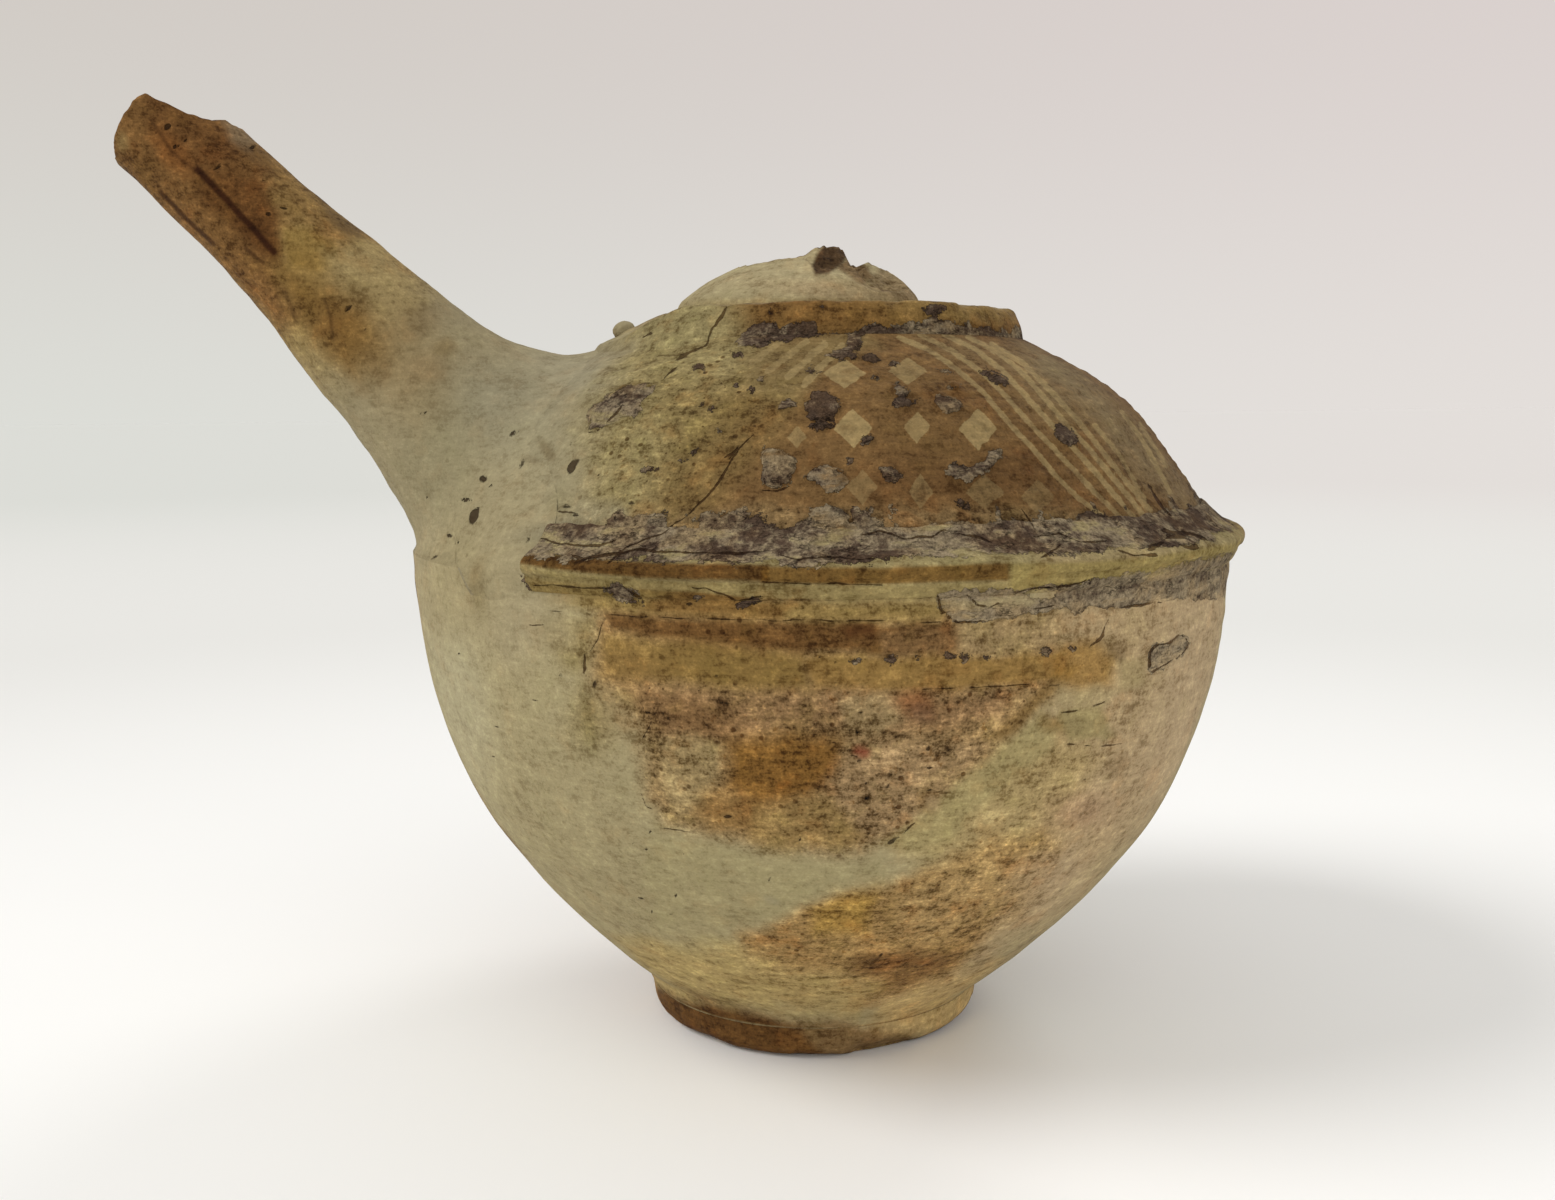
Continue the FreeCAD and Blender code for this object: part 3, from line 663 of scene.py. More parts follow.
# Grey and dark crust: x, y, half width, half height, tilt, and 0 for dark to 1 for pale grey
dome_crusts = (
    (737, 354, 5, 4, 0, 0.2), (697, 368, 6, 4, 0, 0.3), (785, 407, 8, 4, -20, 0.3),
    (790, 404, 6, 3, 0, 0.1), (953, 386, 6, 3, 0, 0.3), (712, 409, 5, 3, 20, 0.1),
    (703, 404, 4, 2, -30, 0.1), (650, 468, 7, 3, 0, 0.5), (692, 452, 9, 3, -30, 0.35),
    (664, 517, 5, 3, 0, 0.2), (866, 440, 6, 3, -30, 0.1), (600, 548, 6, 5, 0, 0.0),
    (875, 377, 5, 3, 0, 0.2), (868, 355, 4, 3, 0, 0.2), (735, 385, 3, 2, -40, 0.1),
    (760, 381, 4, 3, 0, 0.2), (750, 392, 3, 2, 0, 0.1), (813, 370, 6, 3, 0, 0.4), (895, 363, 5, 2, 0, 0.4),
    (948, 370, 9, 1.6, 2, 0.3), (850, 460, 4, 2.4, -20, 0.1), (820, 310, 4, 3, 0, 0.1),
    (965, 505, 8, 3, 30, 0.2), (720, 430, 4, 3, 0, 0.4),
)
dome_crust_patches = (
    (0.1, (
        (735, 345), (741, 330), (757, 326), (762, 320), (777, 320), (783, 331), (796, 322), (818, 323),
        (820, 332), (830, 335), (800, 338), (792, 343), (775, 338), (757, 346),
    )),
    (0.65, (
        (590, 430), (589, 412), (600, 402), (612, 393), (626, 385), (645, 383), (656, 386), (643, 400),
        (642, 412), (635, 421), (624, 414), (612, 424), (603, 430),
    )),
    (0.15, (
        (806, 418), (805, 400), (812, 392), (826, 390), (836, 398), (838, 410), (828, 421), (812, 421),
    )),
    (0.1, ((808, 424), (822, 421), (834, 424), (824, 431), (812, 429))),
    (0.75, (
        (760, 455), (766, 447), (782, 450), (796, 458), (797, 472), (788, 484), (775, 490), (764, 484),
        (762, 468),
    )),
    (0.5, ((804, 478), (815, 469), (828, 465), (843, 470), (850, 480), (838, 488), (828, 492), (816, 487))),
    (0.25, (
        (846, 332), (864, 329), (862, 342), (855, 352), (860, 358), (842, 361), (826, 357), (836, 350),
        (846, 346),
    )),
    (0.35, ((860, 355), (872, 351), (880, 360), (868, 364))),
    (0.2, ((889, 386), (900, 383), (910, 390), (906, 396), (919, 400), (908, 409), (890, 406), (897, 396))),
    (0.3, ((933, 402), (938, 391), (950, 396), (962, 402), (962, 410), (948, 414), (938, 408))),
    (0.45, (
        (943, 470), (956, 464), (970, 472), (984, 460), (988, 450), (998, 448), (1000, 460), (984, 476),
        (966, 484), (952, 479),
    )),
    (0.2, ((880, 468), (893, 465), (904, 474), (895, 481), (884, 479))),
    (0.15, ((978, 369), (985, 367), (1005, 379), (1008, 387), (996, 384))),
    (0.35, ((1057, 422), (1066, 424), (1080, 438), (1080, 448), (1068, 448), (1052, 436))),
    (0.75, ((808, 510), (830, 502), (848, 512), (846, 528), (830, 534), (814, 526))),
)
bowl_crusts = (
    (622, 592, 18, 7, 10, 0.4), (632, 597, 12, 4, 30, 0.1), (749, 602, 13, 4, -8, 0.1),
    (525, 584, 3, 10, -10, 0.1), (1200, 575, 14, 5, -14, 0.8), (857, 659, 5, 3.4, 0, 0.35),
    (889, 660, 7, 4, 0, 0.35), (917, 658, 4, 3, 0, 0.35), (949, 656, 7, 3.4, 10, 0.4),
    (967, 656, 6, 3, 0, 0.45), (987, 657, 6, 2.4, 10, 0.1), (1047, 652, 6, 4, -10, 0.45),
    (1073, 650, 5, 3, 0, 0.4), (694, 598, 6, 3, 0, 0.2),
)
bowl_crust_patches = (
    (0.85, (
        (936, 592), (950, 590), (985, 588), (1020, 591), (1035, 586), (1078, 583), (1110, 576),
        (1150, 572), (1235, 552), (1232, 596), (1195, 599), (1160, 600), (1150, 604), (1130, 608),
        (1105, 608), (1088, 606), (1076, 615), (1062, 608), (1045, 612), (1020, 616), (990, 619),
        (970, 620), (955, 621), (945, 612), (938, 606),
    )),
    (0.8, (
        (1148, 668), (1148, 650), (1156, 643), (1168, 642), (1176, 638), (1180, 634), (1190, 642),
        (1190, 650), (1178, 657), (1170, 664), (1158, 670), (1150, 673),
    )),
)
# Cream clay showing through the long crust
crust_gap = ((1022, 594), (1040, 589), (1058, 590), (1052, 599), (1034, 600))

# Lozenges left bare in the slip: x, y, half width, half height, strength
lozenges = (
    (845, 374, 22, 15, 1.0), (908, 371, 20, 14, 0.8), (853, 428, 20, 19, 1.0), (917, 427, 15, 16, 0.8),
    (978, 429, 20, 21, 1.0), (797, 437, 10, 12, 0.6), (862, 487, 16, 18, 0.4), (921, 492, 13, 18, 0.5),
    (985, 492, 20, 18, 0.4), (1038, 497, 18, 18, 0.35),
)
# Stripes left bare in the slip: half width, strength, then the places that each one runs through
stripes = (
    (3.4, 0.75, (752, 362), (782, 340)), (3.6, 0.8, (768, 371), (806, 342)),
    (3.6, 0.85, (788, 377), (824, 344)), (3.8, 0.85, (804, 384), (842, 346)),
    (2.8, 0.9, (898, 337), (927, 349), (954, 367), (981, 390), (1010, 424), (1036, 452), (1054, 474),
        (1076, 496), (1111, 523)),
    (2.8, 0.9, (920, 335), (954, 352), (984, 374), (1008, 398), (1030, 424), (1058, 453), (1084, 481),
        (1124, 521)),
    (2.8, 0.9, (944, 334), (976, 350), (1002, 370), (1024, 394), (1042, 414), (1066, 440), (1092, 468),
        (1134, 518)),
    (2.8, 0.9, (968, 337), (998, 352), (1024, 374), (1046, 400), (1066, 424), (1092, 452), (1120, 486),
        (1142, 514)),
    (2.8, 0.85, (992, 345), (1022, 362), (1046, 386), (1074, 416), (1100, 448), (1130, 486), (1150, 510)),
    (2.4, 0.8, (1095, 425), (1120, 456), (1145, 500)), (2.4, 0.85, (1122, 412), (1146, 446), (1170, 492)),
    (2.2, 0.8, (1140, 424), (1166, 466)),
)
# Cracks: half width in pixels, then the places that each one runs through
dome_cracks = (
    (1.6, (726, 308), (720, 320), (712, 330), (705, 344), (690, 352), (678, 360)),
    (1.0, (676, 368), (664, 378)), (0.7, (608, 360), (622, 357)), (0.7, (645, 338), (652, 334)),
    (0.9, (752, 434), (738, 450), (728, 467), (718, 482), (703, 500), (680, 520), (660, 535),
        (625, 548), (610, 562)),
    (0.9, (738, 446), (732, 454), (726, 458)), (1.0, (530, 536), (560, 544), (600, 546), (615, 540)),
    (1.3, (655, 552), (720, 553), (760, 552)),
    (1.7, (575, 555), (585, 558), (600, 556), (618, 554), (640, 549), (655, 552)),
    (0.9, (780, 556), (800, 559), (840, 557), (875, 560)),
    (1.2, (862, 534), (880, 531), (905, 538), (930, 538), (942, 530), (975, 537), (990, 541)),
    (0.9, (1035, 537), (1060, 533), (1080, 541), (1105, 541)),
    (2.4, (1150, 548), (1170, 538), (1188, 534)), (2.0, (1165, 531), (1190, 534), (1205, 539)),
    (1.8, (1120, 552), (1135, 556), (1155, 556)), (2.2, (1175, 545), (1195, 548)),
    (1.2, (1060, 546), (1040, 558)), (1.3, (608, 420), (616, 412), (622, 405)),
    (0.8, (590, 433), (600, 431)), (2.0, (1150, 487), (1158, 502), (1170, 514)),
    (1.1, (1022, 510), (1030, 520), (1034, 528)), (0.9, (760, 490), (775, 492), (788, 487)),
    (0.9, (560, 512), (578, 514)),
)
bowl_cracks = (
    (0.9, (602, 622), (597, 640), (590, 653)), (1.3, (586, 656), (585, 672)),
    (1.1, (1110, 617), (1104, 630), (1098, 640), (1090, 647)), (0.7, (642, 795), (646, 807), (652, 809)),
    (0.5, (664, 828), (690, 832)),
    (0.8, (534, 586), (560, 585), (590, 588), (610, 588), (622, 586), (642, 597)),
    (1.1, (692, 588), (706, 588), (722, 594), (736, 600), (750, 599), (762, 597)),
    (0.6, (762, 601), (800, 600), (838, 601)),
    (0.7, (540, 609), (600, 613), (640, 616), (700, 618), (760, 620), (840, 621), (900, 622), (945, 621)),
    (0.6, (762, 583), (820, 584), (882, 585)), (0.6, (900, 688), (960, 688), (1000, 686), (1060, 684)),
    (1.2, (938, 597), (940, 610), (950, 618), (960, 622), (985, 620)),
    (1.0, (968, 596), (978, 604), (990, 606), (1000, 603)),
    (0.9, (1016, 592), (1040, 588), (1070, 586), (1085, 580)), (0.9, (1030, 611), (1056, 604)),
    (0.9, (1100, 607), (1130, 607), (1160, 602)),
    (1.1, (1149, 668), (1150, 652), (1158, 644), (1170, 642), (1180, 634), (1191, 645), (1180, 656),
        (1166, 664), (1152, 672)),
    (0.6, (1062, 712), (1085, 709), (1103, 702)), (0.6, (1062, 744), (1100, 746), (1130, 744)),
    (0.5, (530, 625), (545, 624)), (0.6, (905, 832), (916, 822)), (0.6, (866, 757), (872, 764)),
    (0.7, (640, 700), (652, 722), (642, 740)), (0.6, (843, 752), (860, 758)),
)
# Pits and small holes: x, y, radius in pixels
bowl_pits = (
    (594, 684, 4), (728, 816, 4.5), (893, 841, 4), (928, 748, 3), (860, 760, 3), (700, 690, 1.8),
    (658, 714, 1.6), (560, 640, 1.6), (520, 640, 1.4), (878, 765, 2.4), (890, 772, 2.2), (866, 783, 2),
    (872, 790, 2.2), (888, 786, 1.8), (648, 690, 1.8), (960, 700, 1.8), (1045, 717, 1.8), (1060, 720, 1.8),
    (930, 768, 2.4), (930, 790, 2.4), (922, 806, 2.2), (640, 820, 1.4), (800, 840, 1.6), (770, 880, 1.2),
    (1000, 850, 1.6), (985, 905, 1.8), (880, 955, 2), (497, 726, 2), (515, 746, 1.6), (494, 756, 1.6),
    (535, 699, 1.4), (459, 654, 1.8), (560, 675, 1.8), (550, 669, 1.2), (556, 755, 1.5), (537, 779, 1.2),
    (617, 779, 1.4), (623, 804, 1.5), (649, 833, 2), (648, 849, 2.2), (634, 842, 1.4), (672, 914, 2.2),
    (675, 895, 1.8), (590, 894, 1.4), (652, 912, 1.6), (642, 899, 1.6), (682, 854, 1.4), (710, 775, 2),
    (718, 675, 1.6), (575, 689, 1.4), (573, 711, 1.4), (688, 605, 3), (1149, 660, 2), (1084, 780, 1.6),
    (1056, 800, 2), (1044, 801, 1.6), (836, 662, 2), (837, 683, 2), (820, 657, 1.8), (860, 713, 2.2),
    (834, 742, 2),
)
root_pits = (
    (515, 433, 4.4), (522, 464, 3), (483, 479, 4), (467, 499, 3.4), (474, 516, 6), (477, 512, 4),
    (450, 536, 2.6), (457, 542, 2.2), (435, 558, 2.4), (572, 468, 5.4), (576, 463, 4), (566, 506, 3.6),
    (575, 515, 3), (423, 414, 2.4), (428, 497, 1.8), (571, 443, 1.8), (491, 486, 1.8), (502, 610, 1.4),
    (604, 548, 5), (528, 540, 3), (615, 517, 2), (631, 503, 2.4), (600, 475, 1.6),
)
spout_pits = (
    (217, 167, 4), (167, 127, 3.5), (185, 140, 2), (150, 112, 2.4), (265, 180, 2), (176, 146, 2.6),
    (348, 308, 3.4), (405, 262, 2), (268, 214, 2.6), (252, 148, 3), (283, 282, 2.6), (366, 330, 2),
    (283, 208, 2),
)


# Fields of the marks

def leaned(x, y, middle_x, middle_y, tilt):
    """Places measured from a mark's middle, along and across its tilt."""
    c, s = math.cos(math.radians(tilt)), math.sin(math.radians(tilt))
    dx, dy = x - middle_x, y - middle_y
    return dx * c + dy * s, dy * c - dx * s


def patch_depth(x, y, corners):
    """How deep inside a closed outline each place lies, in pixels: the distance to its nearest side,
    counted as inside where a ray to the right crosses an odd number of sides."""
    away, inside = np.full(x.shape, 1e9), np.zeros(x.shape, bool)
    for (ax, ay), (bx, by) in zip(corners, corners[1:] + corners[:1]):
        dx, dy = bx - ax, by - ay
        share = np.clip(((x - ax) * dx + (y - ay) * dy) / (dx * dx + dy * dy), 0.0, 1.0)
        away = np.minimum(away, np.hypot(x - ax - dx * share, y - ay - dy * share))
        if dy != 0:
            inside ^= ((ay > y) != (by > y)) & (x < ax + (y - ay) * dx / dy)
    return np.where(inside, away, -away)


def patched(x, y, base, patches):
    """Patches laid over a base colour one after another, each fading across its outline by its softness."""
    colour = base
    for soft, strength, tint, corners in patches:
        share = strength * smooth(patch_depth(x, y, corners), -soft, soft)
        colour = between(colour, tint, share[:, None])
    return colour


def stained(x, y, base, stains):
    """Soft stains, and some patches of painted light and shade, laid over a base colour one after another.
    A stain's share is its strength, fading from the inside of an ellipse to its edge by the softness."""
    colour = base
    for mx, my, wide, high, tilt, soft, strength, tint in stains:
        u, v = leaned(x, y, mx, my, tilt)
        share = strength * (1.0 - smooth(np.hypot(u / wide, v / high), 1.0 - soft, 1.0 + soft))
        colour = between(colour, tint, share[:, None])
    return colour


def crust_field(x, y, crusts, patches=()):
    """How deep inside a crust each place lies, in millimetres, and how pale the nearest crust is."""
    depth, pale = np.full(x.shape, no_mark), np.zeros(x.shape)
    for mx, my, wide, high, tilt, tone_share in crusts:
        u, v = leaned(x, y, mx, my, tilt)
        inside = (1.0 - np.hypot(u / wide, v / high)) * min(wide, high) * pixel_size
        pale = np.where(inside > depth, tone_share, pale)
        depth = np.maximum(depth, inside)
    for tone_share, corners in patches:
        inside = patch_depth(x, y, corners) * pixel_size
        pale = np.where(inside > depth, tone_share, pale)
        depth = np.maximum(depth, inside)
    return depth, pale


def lozenge_field(x, y):
    """How deep inside a lozenge each place lies, in millimetres: 1 less its shares across and down."""
    depth, strength = np.full(x.shape, no_mark), np.zeros(x.shape)
    for mx, my, wide, high, force in lozenges:
        reach = wide * high / math.hypot(wide, high) * pixel_size
        inside = (1.0 - np.abs(x - mx) / wide - np.abs(y - my) / high) * reach
        strength = np.where(inside > depth, force, strength)
        depth = np.maximum(depth, inside)
    return depth, strength


def line_field(x, y, lines):
    """For drawn lines: how far each place lies to one side of the nearest, its plain distance from it,
    and its half width, in millimetres. The nearest point of each straight stretch is found by its share
    along the stretch."""
    best, side, half = np.full(x.shape, 60.0), np.full(x.shape, 60.0), np.ones(x.shape)
    for width, *places in lines:
        for (ax, ay), (bx, by) in zip(places, places[1:]):
            dx, dy = bx - ax, by - ay
            long = math.hypot(dx, dy)
            share = np.clip(((x - ax) * dx + (y - ay) * dy) / long**2, 0.0, 1.0)
            away = np.hypot(x - ax - dx * share, y - ay - dy * share)
            across = ((x - ax) * dy - (y - ay) * dx) / long
            nearer = away < best
            best, half = np.where(nearer, away, best), np.where(nearer, width, half)
            lean = np.where(share * (1.0 - share) > 0.0, across, np.copysign(away, across))
            side = np.where(nearer, lean, side)
    return side * pixel_size, best * pixel_size, half * pixel_size


def stripe_field(x, y):
    """How deep inside a stripe each place lies, in millimetres, and that stripe's strength."""
    depth, strength = np.full(x.shape, no_mark), np.zeros(x.shape)
    for width, force, *places in stripes:
        _, away, half = line_field(x, y, ((width, *places),))
        strength = np.where(half - away > depth, force, strength)
        depth = np.maximum(depth, half - away)
    return depth, strength


def streaked(x, y, base):
    """The spout's dark streaks laid over a base colour, fading across their edges."""
    colour = base
    for width, strength, *places in spout_streaks:
        _, away, half = line_field(x, y, ((width, *places),))
        share = strength * (1.0 - smooth(away, 0.35 * half, 1.45 * half))
        colour = between(colour, streak_brown, share[:, None])
    return colour


def pit_field(x, y, pits):
    """How deep inside the nearest pit each place lies, in millimetres. Every pit is a little longer one
    way than the other and tilted by its own place in the picture."""
    depth = np.full(x.shape, no_mark)
    for mx, my, radius in pits:
        u, v = leaned(x, y, mx, my, (mx * 7.0 + my * 3.0) % 90.0 - 75.0)
        long, short = radius * (1.35 + 0.4 * math.sin(mx)), radius * (0.62 + 0.15 * math.sin(my))
        depth = np.maximum(depth, (1.0 - np.hypot(u / long, v / short)) * short * pixel_size)
    return depth


def panel_field(points):
    """The painted panels of the far side, set out like the one in the picture at every 65 degrees:
    lozenges in a net of even steps, and slanting stripes beside them. Returns the depth inside and the
    strength."""
    bearing = np.degrees(np.arctan2(points[:, 1], points[:, 0])) % 360.0
    rise = points[:, 2]
    depth, strength = np.full(len(points), no_mark), np.full(len(points), 0.7)
    for turn in (333.0, 38.0, 103.0):
        off = (bearing - turn + 180.0) % 360.0 - 180.0
        for row, height in enumerate((135.2, 125.6, 115.3)):
            columns = (-6.0, 5.0) if row == 0 else (-8.0, 1.0, 10.0)
            radius = np.interp(height, (115.0, 125.0, 135.0), (75.0, 68.0, 57.0))
            for column in columns:
                across = np.abs(off - column) * math.radians(radius)
                inside = (1.0 - across / 3.6 - np.abs(rise - height) / 3.1) * 2.3
                depth = np.maximum(depth, inside)
        for step in range(5):
            slant = off - 17.0 - 3.4 * step + (rise - 112.0) * 0.62
            inside = 0.62 - np.abs(slant) * math.radians(68.0) * 0.62
            depth = np.where((rise > 111.0) & (rise < 141.0), np.maximum(depth, inside), depth)
        for step in range(3):
            slant = off + 27.0 - 3.6 * step - (rise - 128.0) * 1.15
            inside = 0.62 - np.abs(slant) * math.radians(60.0) * 0.55
            depth = np.where((rise > 129.0) & (rise < 141.0), np.maximum(depth, inside), depth)
    return depth, strength


def weathered(points, seed, first, second, third):
    """Clay colours away from the picture: a first colour, broad clouds of a second and smaller ones of a
    third."""
    broad = smooth(ragged(points, 46.0, seed), 0.0, 0.55)[:, None]
    small = smooth(ragged(points, 24.0, seed + 9), 0.25, 0.7)[:, None]
    return between(between(first, second, 0.8 * broad), third, 0.75 * small)


def write_marks(obj, marks):
    """Stores each mark on the mesh: numbers as plain values, colours as colours."""
    for name, values in marks.items():
        if values.ndim == 2:
            stored = obj.data.attributes.new(name, "FLOAT_COLOR", "POINT")
            full = np.concatenate([values, np.ones((len(values), 1))], 1)
            stored.data.foreach_set("color", full.astype(np.float32).ravel())
        else:
            stored = obj.data.attributes.new(name, "FLOAT", "POINT")
            stored.data.foreach_set("value", values.astype(np.float32))


def wandered(points, size, seed, reach):
    """How far marks stray across and down the picture, so that their outlines are uneven."""
    return ragged(points, size, seed) * reach, ragged(points, size, seed + 20) * reach


def spout_colour(points, normals):
    """The clay of the luted root, with painted shade and a painted highlight on its near side, turning into
    the stained clay of the tube further out. The far side follows the same turn without the picture's
    marks."""
    x, y = picture_place(points)
    seen = smooth(facing(points, normals), 0.0, full_view)[:, None]
    along = (points - spout_seat) @ spout_way
    outer = smooth(along + 4.0 * ragged(points, 14.0, 147), 20.0, 42.0)[:, None]
    dx, dy = wandered(points, 9.0, 5, 5.0)
    near = patched(x + dx, y + dy, between(root_clay, spout_yellow, outer), spout_patches)
    near = streaked(x + 0.3 * dx, y + 0.3 * dy, stained(x + dx, y + dy, near, root_stains_shade_and_highlight + spout_stains))
    burnt = smooth(along + 5.0 * ragged(points, 14.0, 149), 46.0, 58.0)[:, None]
    far_root = weathered(points, 145, root_clay, grey_clay, tan)
    far_tube = weathered(points, 141, spout_yellow, warm_brown, spout_yellow)
    far = between(far_root, far_tube, outer)
    far = between(far, weathered(points, 143, spout_brown, dark_brown, warm_brown), 0.9 * burnt)
    return between(far, near, seen)


def beside_spout(points):
    """How much of the spout's clay shows at points of the body: all of it on the flare's border, none
    9 mm away."""
    away = points - spout_seat
    along = away @ spout_way
    over, side = away @ spout_over, away @ spout_side
    border = flare_radius(np.clip(along, spout_joint - flare_depth, spout_joint), np.arctan2(side, over))
    outside = np.hypot(over, side) - border + 1.6 * ragged(points, 7.0, 151)
    near_side = smooth(along, -60.0, -45.0) * smooth(points[:, 0], 10.0, -10.0)
    return (1.0 - smooth(outside, 0.0, 9.0)) * near_side


def dress(obj, colour, crusts=(), crust_patches=(), cracks=(), pits=(), painted=False, bands=None,
          extra=None, skin=None):
    """Works out every mark of a piece at its points and stores them. colour gives the clay's colour at
    points. Near marks come from the picture, and fade out where the clay turns away from it."""
    points, normals = mesh_arrays(obj)
    x, y = picture_place(points)
    seen = smooth(facing(points, normals), 0.0, full_view)
    tint = colour(points, normals, x, y, seen[:, None])
    dx, dy = wandered(points, 3.0, 31, 3.0)
    crust, pale = crust_field(x + dx, y + dy, crusts, crust_patches)
    crust = np.where(seen > mark_view, crust, no_mark)
    bare, force = np.full(len(points), no_mark), np.zeros(len(points))
    if painted:
        wave = lumps(points, 2.2, 51) * 1.1
        bare, force = lozenge_field(x + wave, y + wave)
        line, line_force = stripe_field(x + wave, y + wave)
        force = np.where(line > bare, line_force, force)
        bare = np.maximum(bare, line)
        hidden, hidden_force = panel_field(points)
        force = np.where(seen > mark_view, force, hidden_force)
        bare = np.where(seen > mark_view, bare, hidden)
    side, away, half = line_field(x + 0.5 * dx, y + 0.5 * dy, cracks)
    away = np.where(seen > mark_view, away, no_crack)
    half = half * np.clip(0.8 + 0.9 * lumps(points, 3.0, 61), 0.0, 1.6)
    pit = np.where(seen > mark_view, pit_field(x + 0.4 * dx, y + 0.4 * dy, pits), no_mark)
    marks = {
        "tint": tint, "crust": crust, "crust_pale": pale, "bare": bare, "bare_strength": force,
        "crack_side": side, "crack_away": away, "crack_half": half, "pit": pit,
        "broken": np.zeros(len(points)),
    }
    if bands is not None:
        band, band_pale = bands(points, seen)
        marks["crust_pale"] = np.where(band > marks["crust"], band_pale, marks["crust_pale"])
        marks["crust"] = np.maximum(marks["crust"], band)
    if extra is not None:
        extra(points, seen, marks)
    if skin is not None:
        inner = np.zeros(len(points), bool)
        inner[: len(skin)] = ~skin
        marks["tint"] = np.where(inner[:, None], inner_clay, marks["tint"])
        for name in ("crust", "bare", "pit"):
            marks[name] = np.where(inner, no_mark, marks[name])
        marks["crack_away"] = np.where(inner, no_crack, marks["crack_away"])
    marks["mottle"], marks["flecks"] = marks["tint"][:, 3], marks["tint"][:, 4]
    marks["tint"] = marks["tint"][:, :3]
    write_marks(obj, marks)


# Turned pieces

def foot_pad():
    """A pad: its outline turned about the axis, its lower edge worn and chipped in a few places."""
    angles = bearings(420)
    side = curve_run(foot_outline[1:], 0.45)
    under = straight_run(((6.0, 0.0), foot_outline[0], foot_outline[1]), 2.0)
    over = straight_run((foot_outline[-1], (6.0, foot_top)), 3.0)
    run = np.concatenate([under, side[1:], over[1:]])
    grid = turned(run, angles, foot_offset)
    normals = grid_normals(grid, False)
    low = smooth(grid[..., 2], 4.5, 0.2)
    chips = smooth(lumps(grid * (1, 1, 0.4), 9.0, 71), 0.25, 0.9) * 1.4
    chips = chips + smooth(lumps(grid, 3.2, 73), 0.3, 0.9) * 0.5
    bearing = np.degrees(np.arctan2(grid[..., 1], grid[..., 0])) % 360.0
    chips = chips + 1.6 * bell(bearing, 282.0, 9.0) + 0.9 * bell(bearing, 270.0, 3.0)
    outer = smooth(run[:, 0], 31.0, 33.0)[:, None] * (run[:, 1] < foot_top - 0.2)[:, None]
    inward = np.stack([np.cos(angles), np.sin(angles), 0.0 * angles], -1)[None]
    grid = grid - inward * (chips * low * outer)[..., None]
    lift = 0.45 * chips * low * outer * smooth(grid[..., 2], 1.6, 0.0)
    grid[..., 2] += lift * smooth(run[:, 0], 32.5, 34.5)[:, None]
    grid = grid + normals * (0.12 * ragged(grid, 6.0, 75) * outer)[..., None]
    grid[..., 2] = np.maximum(grid[..., 2], 0.0)
    return lay_mesh("foot_pad", grid, poles=((-foot_offset, 0, 0), (-foot_offset, 0, foot_top)))


def clear_of_spout(angles):
    """1 away from the spout and 0 beside it."""
    return smooth(np.abs((np.degrees(angles) % 360.0) - 180.0), 38.0, 47.0)


def inner_run(outline, wall, spacing):
    """The inside of a wall: an outline moved square to itself by the wall's thickness."""
    run = curve_run(outline, spacing)
    along = np.gradient(run, axis=0)
    along /= np.linalg.norm(along, axis=1, keepdims=True)
    return run + np.stack([-along[:, 1], along[:, 0]], -1) * wall


def bowl_shell():
    """The bowl: its outside up to the joint, the bevelled rim, and its inside back down to the floor."""
    angles = bearings(600)
    outside = curve_run(bowl_outline, 0.85)
    inside = inner_run(bowl_outline, bowl_wall, 5.0)[2:-1][::-1]
    rim = np.array(((belly_radius - bowl_wall, joint_height - rim_bevel),))
    under = straight_run(((8.0, foot_top), bowl_outline[0]), 6.0)
    floor = np.array(((30.0, floor_height), (8.0, floor_height)))
    run = np.concatenate([under[:-1], outside, rim, inside, floor])
    grid = turned(run, angles)
    skin = np.zeros(len(run), bool)
    skin[len(under) - 1: len(under) - 1 + len(outside)] = True
    grid[..., 0] -= foot_offset * smooth(grid[..., 2], 12.0, foot_top)
    normals = grid_normals(grid, False)
    free = skin * smooth(run[:, 1], foot_top, foot_top + 4.0)
    free = (free * smooth(run[:, 1], joint_height - 2.5, joint_height - 6.0))[:, None]
    rings = 0.10 * np.sin(grid[..., 2] * 1.15 + 0.8 * lumps(grid, 30.0, 3))
    rings = rings * smooth(grid[..., 2], 78.0, 92.0)
    rings = rings + 0.24 * bell(grid[..., 2], 97.0, 1.5) - 0.30 * bell(grid[..., 2], 94.0, 1.5)
    push = 0.32 * ragged(grid, 34.0, 11) + 0.05 * ragged(grid, 5.0, 12) + rings * clear_of_spout(angles)
    grid = grid + normals * (push * free)[..., None]
    obj = lay_mesh("bowl_shell", grid, poles=((-foot_offset, 0, foot_top), (0, 0, floor_height)))
    return obj, np.repeat(skin, len(angles))


